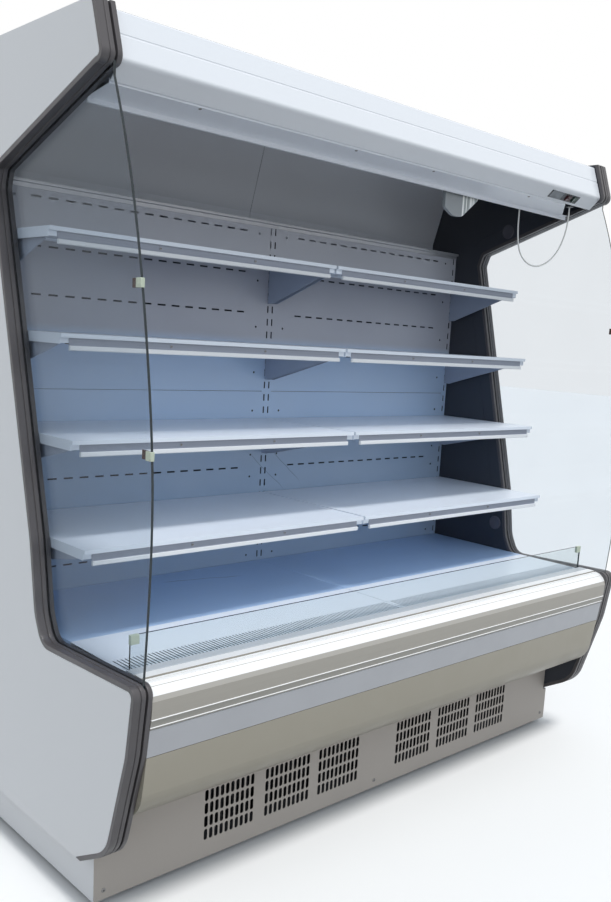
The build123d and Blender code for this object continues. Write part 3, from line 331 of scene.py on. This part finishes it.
def body_skin():
    """Insulated body: white outside; faces towards the duct and the machine space, and faces turned down,
    dark as painted shade, with a faint random darkening.
    """
    nodes = Nodes("body_skin")
    # faces turned to the front or down take a dark tone: painted shade of the duct and the machine space
    front = nodes.spread(nodes.facing("Y"), -0.7, -0.5, 1.0, 0.0, smooth=False)
    under = nodes.spread(nodes.facing("Z"), -0.7, -0.5, 1.0, 0.0, smooth=False)
    shaded_faces = nodes.maths("MAXIMUM", front, under)
    shade = nodes.mix(shaded_faces, END_WHITE, BODY_SHADE_DARK)
    shade = nodes.mix(nodes.spread(nodes.noise(2.0), 0.3, 0.7, 0.0, 0.012), shade, BODY_SHADE_DARK)
    normal = nodes.bump(nodes.noise(3.0, 1.0), 0.03, 0.002)
    return nodes.finish(nodes.shader(shade, 0.45, normal))


def rail_plastic(level, bead_top):
    """Ticket rail: channel painted grey as the shade under the shelf's nose, above a white bead."""
    nodes = Nodes(f"rail_plastic_{level}")
    bead = nodes.spread(nodes.axis("Z"), bead_top - 0.0008, bead_top - 0.0002, 1.0, 0.0)
    fine = nodes.spread(nodes.noise(500.0, 2.0, (0.01, 1, 1)), 0.3, 0.7)
    grey = nodes.mix(fine, scaled(RAIL_CHANNEL_SHADE, 0.96), scaled(RAIL_CHANNEL_SHADE, 1.04))
    shade = nodes.mix(bead, grey, RAIL_WHITE)
    shine = nodes.spread(nodes.noise(20.0), 0.3, 0.7, 0.28, 0.38)
    return nodes.finish(nodes.shader(shade, shine))


def lamp_finish():
    """Lamp parts: white; the driver housing is grey at its left and fluted at its right, the flutes drawn
    as light and dark stripes of painted highlight and shade.
    """
    nodes = Nodes("lamp_finish")
    across = nodes.axis("X")
    housing = nodes.between(across, *HOUSING_RANGE)
    low = nodes.spread(nodes.axis("Z"), *HOUSING_TOP, 1.0, 0.0)
    housing = nodes.maths("MULTIPLY", housing, low)
    right = nodes.spread(across, *HOUSING_FLUTES)
    # light and dark stripes across the flutes: painted highlight and shade
    flutes = nodes.spread(nodes.noise(60.0, 1.0, (3.0, 0.02, 0.02)), 0.42, 0.58)
    fluted = nodes.mix(flutes, colour(150, 160, 160), colour(250, 252, 250))
    shade = nodes.mix(housing, colour(226, 229, 226), nodes.mix(right, colour(150, 156, 160), fluted))
    return nodes.finish(nodes.shader(shade, 0.25))


def control_finish():
    """Control housing: near black, with a silver-grey display at its left."""
    nodes = Nodes("control_finish")
    across = nodes.axis("X")
    window = nodes.between(across, *WINDOW_RANGE)
    shade = nodes.mix(window, colour(54, 55, 60), colour(128, 134, 140))
    grain = nodes.spread(nodes.noise(40.0, 2.0), 0.3, 0.7, 0.0, 0.25)
    shade = nodes.mix(grain, shade, colour(60, 62, 66))
    return nodes.finish(nodes.shader(shade, 0.2))


def pane(name, normal_axis, tint):
    """Clear glass: faintly tinted through its faces, dark along its cut edges."""
    nodes = Nodes(name)
    on_face = nodes.spread(nodes.maths("ABSOLUTE", nodes.facing(normal_axis), 0.0), 0.7, 0.8, smooth=False)
    dust = nodes.spread(nodes.noise(5.0, 4.0), 0.35, 0.75, 0.0, 0.012)
    clear = nodes.add("ShaderNodeBsdfTransparent", Color=tint)
    gloss = nodes.add("ShaderNodeBsdfGlossy", Roughness=0.03, Color=GLASS_GLOSS)
    grazing = nodes.maths("POWER", nodes.add("ShaderNodeLayerWeight", Blend=0.5).outputs["Facing"], 5.0)
    mirror = nodes.spread(grazing, 0.0, 1.0, 0.035, 0.9, smooth=False)
    haze = nodes.add("ShaderNodeBsdfDiffuse", Color=GLASS_DUST)
    see = nodes.add("ShaderNodeMixShader")
    nodes.link(mirror, see.inputs[0])
    nodes.link(clear.outputs[0], see.inputs[1])
    nodes.link(gloss.outputs[0], see.inputs[2])
    dusty = nodes.add("ShaderNodeMixShader")
    nodes.link(dust, dusty.inputs[0])
    nodes.link(see.outputs[0], dusty.inputs[1])
    nodes.link(haze.outputs[0], dusty.inputs[2])
    edge = nodes.shader(
        nodes.mix(nodes.spread(nodes.noise(60.0), 0.3, 0.7), scaled(GLASS_EDGE, 0.7), GLASS_EDGE), 0.12,
    )
    both = nodes.add("ShaderNodeMixShader")
    nodes.link(on_face, both.inputs[0])
    nodes.link(edge, both.inputs[1])
    nodes.link(dusty.outputs[0], both.inputs[2])
    return nodes.finish(both.outputs[0])


# (place, axis along which it runs, start, end, slope, width): folds in the protective films, drawn as lines
# of painted crease shade
DECK_FOLD_SHADES = (
    (0.2305, "X", -0.436, -0.195, -0.236, 0.0034),
)
WALL_FOLD_SHADES = (
    (0.090, "Z", 0.881, 1.000, -1.24, 0.0024),
    (0.157, "Z", 0.909, 1.003, -1.14, 0.0024),
)
# display colours, fitted to the photograph under the lamps at the end of this script, so they
# hold some of the photograph's own light and shade and aren't the real paint's
# dark tone for the wall's slot edges: painted shade in the slots
SLOT_EDGE_SHADE = colour(60, 64, 74)
# heights of the two ribs' painted highlight lines, and half the height of one
RIB_HIGHLIGHT_HEIGHTS = (0.5553, 0.5363)
RIB_HIGHLIGHT_HALF = 0.001                    # half the height of a rib
FACE_CHANGE = (0.551, 0.555)        # heights between which the bumper's face changes tone
PANEL_HEIGHTS = (0.25, 0.46)        # bottom and top of the lower panel
HOUSING_RANGE = (0.292, 0.460)      # X of the lamp's driver housing
HOUSING_FLUTES = (0.376, 0.378)     # X where its flutes start
HOUSING_TOP = (1.925, 1.93)
WINDOW_RANGE = (0.6703, 0.7357)     # X of the controller's display
LINER_DEPTH = (0.003, 0.004)        # where an end's liner meets its white skin, past INNER_X
CANOPY_WHITE = colour(233, 236, 241)
END_WHITE = colour(238, 239, 241)
WALL_PALE = colour(200, 202, 211)
WALL_GREY = colour(175, 177, 187)
WALL_BLUE = colour(187, 209, 236)
WALL_DIM = colour(161, 182, 207)
# (lower limit, upper limit, tone above it): changes of tone behind shelves 3, 2 and 1, partly blue film and
# partly painted shade
WALL_FILM_AND_SHADE_BANDS = (
    (1.09, 1.13, WALL_BLUE),
    (1.35, 1.40, WALL_GREY),
    (1.59, 1.65, WALL_PALE),
)
BAFFLE_GREY = colour(236, 239, 246)
COVER_GREY = colour(243, 246, 252)
SHELF_WHITE = colour(235, 242, 252)
DECK_BLUE = colour(182, 209, 243)
BRACKET_GREY = colour(163, 173, 192)
# grey of the rail's channel: painted shade under the shelf's nose
RAIL_CHANNEL_SHADE = colour(150, 156, 170)
STRIP_GREY = colour(182, 184, 190)
NAVY = colour(52, 56, 66)
TRIM_GREY = colour(84, 81, 83)
PANEL_BEIGE = colour(160, 154, 140)
PLINTH_GREY = colour(184, 176, 168)
FACE_BEIGE = colour(172, 167, 158)
BAND_GREY = colour(158, 156, 149)
# white of the bumper's upward faces and ribs: painted highlight
BUMPER_LIT_WHITE = colour(252, 252, 252)
INSERT_BLUE = colour(190, 191, 195)
GLASS_TINT = (0.91, 0.93, 0.948, 1.0)
RISER_TINT = (0.95, 0.972, 0.972, 1.0)
GLASS_EDGE = colour(34, 46, 52)
GLASS_GLOSS = (0.34, 0.36, 0.38, 1.0)
GLASS_DUST = (0.8, 0.85, 0.85, 1.0)
COPPER = colour(190, 120, 88)
# dark tone for the body's front and under faces: painted shade
BODY_SHADE_DARK = colour(58, 62, 70)
RAIL_WHITE = colour(238, 240, 243)
RAIL_BEAD_TOPS = (1.5922, 1.3442, 1.0962, 0.8442)

FINISHES = {
    "canopy": enamel("canopy_enamel", CANOPY_WHITE, 0.22, 0.004, 0.3),
    "cover": enamel("cover_enamel", COVER_GREY, 0.34, 0.008),
    "body": body_skin(),
    "shell": end_enamel(),
    "white": enamel("white_enamel", END_WHITE, 0.32, 0.004),
    "wall": wall_enamel(),
    "baffle": enamel("baffle_enamel", BAFFLE_GREY, 0.34, 0.008),
    "shelf": enamel("shelf_enamel", SHELF_WHITE, 0.36, 0.006),
    "deck": deck_film(),
    "bracket": enamel("bracket_enamel", BRACKET_GREY, 0.4, 0.04),
    "strip": drawn_metal("strip_metal", STRIP_GREY, 0.34, 0.5),
    "trim": plastic("trim_plastic", TRIM_GREY, 0.34, 0.05, 500.0),
    "panel": lower_enamel(),
    "plinth": enamel("plinth_enamel", PLINTH_GREY, 0.45, 0.01),
    "bumper": bumper_metal(),
    "insert": plastic("insert_plastic", INSERT_BLUE, 0.38, 0.015),
    "side_pane": pane("side_pane", "X", GLASS_TINT),
    "riser_pane": pane("riser_pane", "Y", RISER_TINT),
    "zinc": drawn_metal("zinc_steel", colour(176, 180, 184), 0.38, 0.85, (1, 1, 1), 0.1),
    # base frame in dark grey: painted shade of the dim machine space
    "frame": drawn_metal("frame_steel_shaded", colour(66, 68, 72), 0.5, 0.5, (1, 1, 1), 0.1),
    "fins": drawn_metal("coil_fins", colour(206, 210, 214), 0.32, 0.9, (1, 1, 0.1)),
    "dark_fins": drawn_metal("condenser_fins", colour(52, 54, 58), 0.45, 0.6, (1, 1, 0.1)),
    "copper": drawn_metal("copper_tube", COPPER, 0.28, 1.0, (1, 1, 1), 0.08),
    "black": plastic("black_plastic", colour(42, 43, 46), 0.4, 0.06),
    "unit": enamel("unit_enamel", colour(34, 35, 38), 0.25, 0.05, 0.3),
    "comb": plastic("comb_plastic", colour(92, 95, 102), 0.5, 0.05),
    "channel": enamel("channel_enamel", colour(190, 196, 202), 0.3, 0.01),
    "lamp": lamp_finish(),
    "controls": control_finish(),
    "red": plastic("red_rocker", colour(72, 40, 44), 0.25, 0.05),
    "green": plastic("green_rocker", colour(38, 60, 52), 0.25, 0.05),
    "lead": plastic("lead_plastic", colour(226, 226, 222), 0.42, 0.02),
    "clip_pale": plastic("clip_pale", colour(196, 206, 186), 0.28, 0.04),
    "clip_brown": plastic("clip_brown", colour(84, 54, 44), 0.5, 0.08),
    "screw": drawn_metal("screw_steel", colour(150, 148, 146), 0.4, 0.4, (1, 1, 1), 0.1),
    # dark of the screws' cross recesses: painted shade in the hollow
    "recess": plastic("screw_recess_shade", colour(60, 60, 62), 0.6),
    "cap": plastic("cap_plastic", colour(88, 88, 98), 0.45, 0.03),
}
for level, bead_top in enumerate(RAIL_BEAD_TOPS, 1):
    FINISHES[f"rail_{level}"] = rail_plastic(level, bead_top)

NODE_FINISH = {
    "base_frame": "frame",
    "levelling_feet": "black",
    "plinth_front": "plinth",
    "plinth_sides": "white",
    "insulated_body": "body",
    "upper_baffles": "baffle",
    "back_panels": "wall",
    "uprights": "wall",
    "wall_top_strip": "strip",
    "canopy_fascia": "canopy",
    "canopy_inner_cover": "cover",
    "air_honeycomb": "comb",
    "canopy_lamp": "lamp",
    "controller": "controls",
    "rocker_power": "red",
    "rocker_light": "green",
    "end_panel_left": "shell",
    "end_panel_right": "shell",
    "end_trim_left": "trim",
    "end_trim_right": "trim",
    "side_glass_left": "side_pane",
    "side_glass_right": "side_pane",
    "glass_clips": "clip_pale",
    "riser_glass": "riser_pane",
    "riser_channel": "channel",
    "bumper_rail": "bumper",
    "bumper_insert": "insert",
    "lower_panel": "panel",
    "deck_pan_left": "deck",
    "deck_pan_right": "deck",
    "return_grille_left": "shelf",
    "return_grille_right": "shelf",
    "evaporator_coil": "fins",
    "evaporator_fan_plate": "zinc",
    "evaporator_fan_left": "black",
    "evaporator_fan_right": "black",
    "condenser": "dark_fins",
    "condenser_fan": "black",
    "compressor": "unit",
    "refrigerant_pipes": "copper",
    "drip_tray": "black",
    "shelf_brackets": "bracket",
    "screws": "screw",
}
for level in range(1, 5):
    for side in ("left", "right"):
        NODE_FINISH[f"shelf_{level}_{side}"] = "shelf"
        NODE_FINISH[f"ticket_rail_{level}_{side}"] = f"rail_{level}"


def dress(node, finish):
    mesh = NODES[node].data
    mesh.materials.clear()
    mesh.materials.append(FINISHES[finish])


for node, finish in NODE_FINISH.items():
    dress(node, finish)


def soften(node, width, segments=3):
    """Small rounded edges on a sheet-metal or moulded node."""
    weld = NODES[node].modifiers.new("joined_edges", "WELD")
    weld.merge_threshold = WELD_DISTANCE
    bevel = NODES[node].modifiers.new("soft_edge", "BEVEL")
    bevel.width = width
    bevel.segments = segments
    bevel.limit_method = "ANGLE"
    bevel.angle_limit = radians(35)
    bevel.harden_normals = False


for node in ("end_trim_left", "end_trim_right"):
    soften(node, 0.003)
for node in ("bumper_insert", "wall_top_strip"):
    soften(node, 0.0006, 2)


# ---------------------------------------------------------------- small pieces in place of CAD nodes
def islands(node):
    """Box of each loose part of a CAD node, as (low corner, high corner)."""
    shape = bmesh.new()
    shape.from_mesh(NODES[node].data)
    bmesh.ops.remove_doubles(shape, verts=shape.verts, dist=WELD_DISTANCE)
    left = set(shape.verts)
    boxes = []
    while left:
        start = left.pop()
        part = {start}
        edge_of_search = [start]
        while edge_of_search:
            vertex = edge_of_search.pop()
            for edge in vertex.link_edges:
                other = edge.other_vert(vertex)
                if other not in part:
                    part.add(other)
                    edge_of_search.append(other)
        left -= part
        low = Vector([min(v.co[k] for v in part) for k in range(3)])
        high = Vector([max(v.co[k] for v in part) for k in range(3)])
        boxes.append((low, high))
    shape.free()
    return sorted(boxes, key=lambda box: tuple(round(c, 4) for c in box[0]))


def piece(name, shape, body, finishes):
    """A bmesh made into a named piece that rides on a body."""
    mesh = bpy.data.meshes.new(name)
    shape.to_mesh(mesh)
    shape.free()
    for finish in finishes:
        mesh.materials.append(FINISHES[finish])
    made = bpy.data.objects.new(name, mesh)
    bpy.context.scene.collection.objects.link(made)
    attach(made, body)
    return made


def add_box(shape, low, high, rounding=0.001, finish=0):
    """A box with rounded edges, added to a bmesh."""
    size = high - low
    corner = Matrix.Translation((low + high) / 2) @ Matrix.Diagonal((*size, 1.0))
    new = bmesh.ops.create_cube(shape, size=1.0, matrix=corner)["verts"]
    edges = list({edge for vertex in new for edge in vertex.link_edges})
    faces = {face for vertex in new for face in vertex.link_faces}
    if rounding:
        made = bmesh.ops.bevel(
            shape, geom=edges, offset=rounding, segments=2, profile=0.5, affect="EDGES", clamp_overlap=True,
        )
        faces = {face for face in faces if face.is_valid} | set(made["faces"])
    for face in faces:
        face.material_index = finish
        face.smooth = True


def add_turned(shape, place, profile, finish=0, steps=24):
    """A turned form: (radius, height) points spun about Z, then put in place."""
    rings = []
    for radius, height in profile:
        if radius < 1e-6:
            rings.append([shape.verts.new(place @ Vector((0, 0, height)))])
        else:
            rings.append([
                shape.verts.new(place @ Vector((
                    radius * cos(2 * pi * k / steps), radius * sin(2 * pi * k / steps), height,
                ))) for k in range(steps)
            ])
    for first, second in zip(rings, rings[1:]):
        for k in range(steps):
            ring = [first[k % len(first)], first[(k + 1) % len(first)]]
            ring += [second[(k + 1) % len(second)], second[k % len(second)]]
            corners = list(dict.fromkeys(ring))
            if len(corners) > 2:
                face = shape.faces.new(corners)
                face.material_index = finish
                face.smooth = True


def screw_place(middle, outward):
    """Matrix that puts a head's axis along the outward direction."""
    return Matrix.Translation(middle) @ Vector(outward).to_track_quat("Z", "Y").to_matrix().to_4x4()


def add_screw(shape, place, radius, height):
    """Pan head with a cross recess; its seat is at the place's origin."""
    profile = (
        (0.0, height), (radius * 0.35, height * 0.985), (radius * 0.7, height * 0.88),
        (radius * 0.93, height * 0.6), (radius, height * 0.3), (radius, 0.0),
    )
    add_turned(shape, place, profile)
    # the cross recess is two thin dark bars on the head: painted shade in place of a hollow
    arm_size = Matrix.Diagonal((radius * 1.1, radius * 0.2, height * 0.06, 1))
    for turn in (0, pi / 2):
        turned = place @ Matrix.Rotation(turn, 4, "Z")
        arm_place = turned @ (Matrix.Translation((0, 0, height)) @ arm_size)
        arm = bmesh.ops.create_cube(shape, size=1.0, matrix=arm_place)["verts"]
        for face in {face for vertex in arm for face in vertex.link_faces}:
            face.material_index = 1


def glass_clips():
    pale = bmesh.new()
    pads = bmesh.new()
    for low, high in islands("glass_clips"):
        if high.x - low.x < PAD_LIMIT:
            add_box(pads, low, high, 0.0006)
        else:
            add_box(pale, low, high, 0.0012)
    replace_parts(piece("glass_clips_pale", pale, "cabinet", ["clip_pale"]), "glass_clips")
    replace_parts(piece("glass_pads", pads, "cabinet", ["clip_brown"]), "glass_clips")


def cabinet_screws():
    heads = bmesh.new()
    caps = bmesh.new()
    for low, high in islands("screws"):
        middle = (low + high) / 2
        size = high - low
        if size.y > CAP_LIMIT:
            side = 1 if middle.x > 0 else -1
            place = screw_place(Vector((side * INNER_X, middle.y, middle.z)), (-side, 0, 0))
            radius = size.y / 2
            add_turned(caps, place, (
                (0.0, 0.0024), (radius * 0.8, 0.0022), (radius * 0.84, 0.0028), (radius * 0.95, 0.0026),
                (radius, 0.0012), (radius, 0.0),
            ), steps=48)
        elif middle.z < PLINTH_LIMIT:
            place = screw_place(Vector((middle.x, high.y, middle.z)), (0, -1, 0))
            add_screw(heads, place, size.x / 2, size.y)
        else:
            seat = middle + Vector((0, 0, size.z * 0.1))
            add_screw(heads, screw_place(seat, CANOPY_SCREW_OUT), size.x / 2, CANOPY_SCREW_HEIGHT)
    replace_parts(piece("cabinet_screws", heads, "cabinet", ["screw", "recess"]), "screws")
    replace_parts(piece("panel_caps", caps, "cabinet", ["cap"]), "screws")


def rail_screws():
    """Screws with a cross recess over the plain heads in the ticket rails."""
    for level in range(1, 5):
        for side in ("left", "right"):
            heads = bmesh.new()
            for low, high in islands(f"ticket_rail_{level}_{side}"):
                if high.x - low.x < HEAD_LIMIT:
                    middle = (low + high) / 2
                    place = screw_place(Vector((middle.x, high.y, middle.z)), (0, -1, 0))
                    add_screw(heads, place, (high.x - low.x) / 2 + 0.0002, high.y - low.y + 0.0003)
            body = f"shelf_body_{level}_{side}"
            piece(f"rail_screws_{level}_{side}", heads, body, ["screw", "recess"])


# sizes that tell the loose parts of a node apart
PAD_LIMIT = 0.004             # a clip's part thinner than this along X is its pad
CAP_LIMIT = 0.03              # a screw wider than this along Y is an end panel's cap
PLINTH_LIMIT = 0.1            # a screw lower than this is in the plinth
HEAD_LIMIT = 0.02             # a rail's part shorter than this along X is a screw
CANOPY_SCREW_OUT = (0.0, -0.15, -0.99)
CANOPY_SCREW_HEIGHT = 0.0016
glass_clips()
cabinet_screws()
rail_screws()


# ---------------------------------------------------------------- lamp lead
LEAD_ROUTE = (
    (839.0, 567.0, 1896.0), (839.5, 567.0, 1862.0), (838.0, 563.5, 1822.0), (833.0, 556.5, 1782.0),
    (822.0, 545.5, 1745.0), (802.0, 531.0, 1713.0), (772.0, 515.0, 1692.0), (738.0, 501.0, 1690.0),
    (709.0, 489.5, 1706.0), (691.0, 480.0, 1736.0), (683.5, 475.5, 1776.0), (681.0, 473.8, 1820.0),
    (681.5, 473.2, 1866.0), (682.5, 473.6, 1912.0), (683.2, 474.6, 1950.0), (683.4, 475.4, 1978.0),
)


def lamp_lead():
    curve = bpy.data.curves.new("lamp_lead_run", "CURVE")
    curve.dimensions = "3D"
    curve.bevel_depth = LEAD_RADIUS
    curve.bevel_resolution = 6
    curve.resolution_u = 10
    curve.use_fill_caps = True
    spline = curve.splines.new("NURBS")
    spline.points.add(len(LEAD_ROUTE) - 1)
    for point, place in zip(spline.points, LEAD_ROUTE):
        point.co = (*at(*place), 1.0)
    spline.order_u = 3
    spline.use_endpoint_u = True
    curve.materials.append(FINISHES["lead"])
    lead = bpy.data.objects.new("lamp_lead_run", curve)
    bpy.context.scene.collection.objects.link(lead)
    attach(lead, "cabinet")
    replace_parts(lead, "lamp_lead")


lamp_lead()


# ---------------------------------------------------------------- room
def make_room():
    mesh = bpy.data.meshes.new("studio_floor")
    shape = bmesh.new()
    bmesh.ops.create_grid(shape, x_segments=1, y_segments=1, size=FLOOR_SIZE)
    shape.to_mesh(mesh)
    shape.free()
    floor = bpy.data.objects.new("studio_floor", mesh)
    bpy.context.scene.collection.objects.link(floor)
    nodes = Nodes("studio_floor")
    path = nodes.add("ShaderNodeLightPath")
    seen = nodes.maths("MAXIMUM", path.outputs["Is Camera Ray"], path.outputs["Is Glossy Ray"])
    seen = nodes.maths("MAXIMUM", seen, path.outputs["Is Transmission Ray"])
    mesh.materials.append(nodes.finish(nodes.shader(nodes.mix(seen, FLOOR_BOUNCE, FLOOR_PALE), 0.8)))


def make_world():
    world = bpy.data.worlds.new("studio")
    world.use_nodes = True
    tree = world.node_tree
    tree.nodes.clear()
    output = tree.nodes.new("ShaderNodeOutputWorld")
    light = tree.nodes.new("ShaderNodeBackground")
    light.inputs["Color"].default_value = WORLD_TONE
    towards = tree.nodes.new("ShaderNodeVectorMath")
    towards.operation = "DOT_PRODUCT"
    tree.links.new(tree.nodes.new("ShaderNodeTexCoord").outputs["Generated"], towards.inputs[0])
    towards.inputs[1].default_value = WINDOW_SIDE
    ahead = tree.nodes.new("ShaderNodeMapRange")
    limits = {
        "From Min": WINDOW_EDGE, "From Max": WINDOW_MIDDLE, "To Min": WORLD_LIGHT, "To Max": FRONT_LIGHT,
    }
    for socket, value in limits.items():
        ahead.inputs[socket].default_value = value
    tree.links.new(towards.outputs["Value"], ahead.inputs["Value"])
    tree.links.new(ahead.outputs["Result"], light.inputs["Strength"])
    backdrop = tree.nodes.new("ShaderNodeBackground")
    backdrop.inputs["Color"].default_value = (1, 1, 1, 1)
    backdrop.inputs["Strength"].default_value = 1.0
    path = tree.nodes.new("ShaderNodeLightPath")
    seen = tree.nodes.new("ShaderNodeMath")
    seen.operation = "MAXIMUM"
    through = tree.nodes.new("ShaderNodeMath")
    through.operation = "MAXIMUM"
    mix = tree.nodes.new("ShaderNodeMixShader")
    tree.links.new(path.outputs["Is Camera Ray"], seen.inputs[0])
    tree.links.new(path.outputs["Is Glossy Ray"], seen.inputs[1])
    tree.links.new(seen.outputs[0], through.inputs[0])
    tree.links.new(path.outputs["Is Transmission Ray"], through.inputs[1])
    tree.links.new(through.outputs[0], mix.inputs[0])
    tree.links.new(light.outputs[0], mix.inputs[1])
    tree.links.new(backdrop.outputs[0], mix.inputs[2])
    tree.links.new(mix.outputs[0], output.inputs["Surface"])
    bpy.context.scene.world = world


def make_sun(name, strength, angle, direction, tone):
    light = bpy.data.lights.new(name, "SUN")
    light.energy = strength
    light.angle = radians(angle)
    light.color = tone
    sun = bpy.data.objects.new(name, light)
    sun.rotation_mode = "QUATERNION"
    sun.rotation_quaternion = Vector(direction).to_track_quat("-Z", "Y")
    bpy.context.scene.collection.objects.link(sun)


FLOOR_SIZE = 30.0
WORLD_TONE = (0.86, 0.93, 1.0, 1.0)
FLOOR_PALE = colour(248, 248, 248)
FLOOR_BOUNCE = colour(120, 120, 120)
WINDOW_SIDE = (-0.45, -0.89, 0.0)    # direction that the stronger light comes from
WINDOW_EDGE = -0.1                   # cosine from WINDOW_SIDE where it starts
WINDOW_MIDDLE = 0.95                 # cosine where it is full
WORLD_LIGHT = 0.46
FRONT_LIGHT = 1.2
KEY_STRENGTH = 1.7
KEY_ANGLE = 11.0                     # degrees across, which softens the shadows
KEY_DIRECTION = (0.05, 0.37, -1.0)
KEY_TONE = (1.0, 0.99, 0.97)
make_room()
make_world()
make_sun("key_light", KEY_STRENGTH, KEY_ANGLE, KEY_DIRECTION, KEY_TONE)

scene = bpy.context.scene
scene.view_settings.view_transform = "Standard"

bpy.context.view_layer.update()
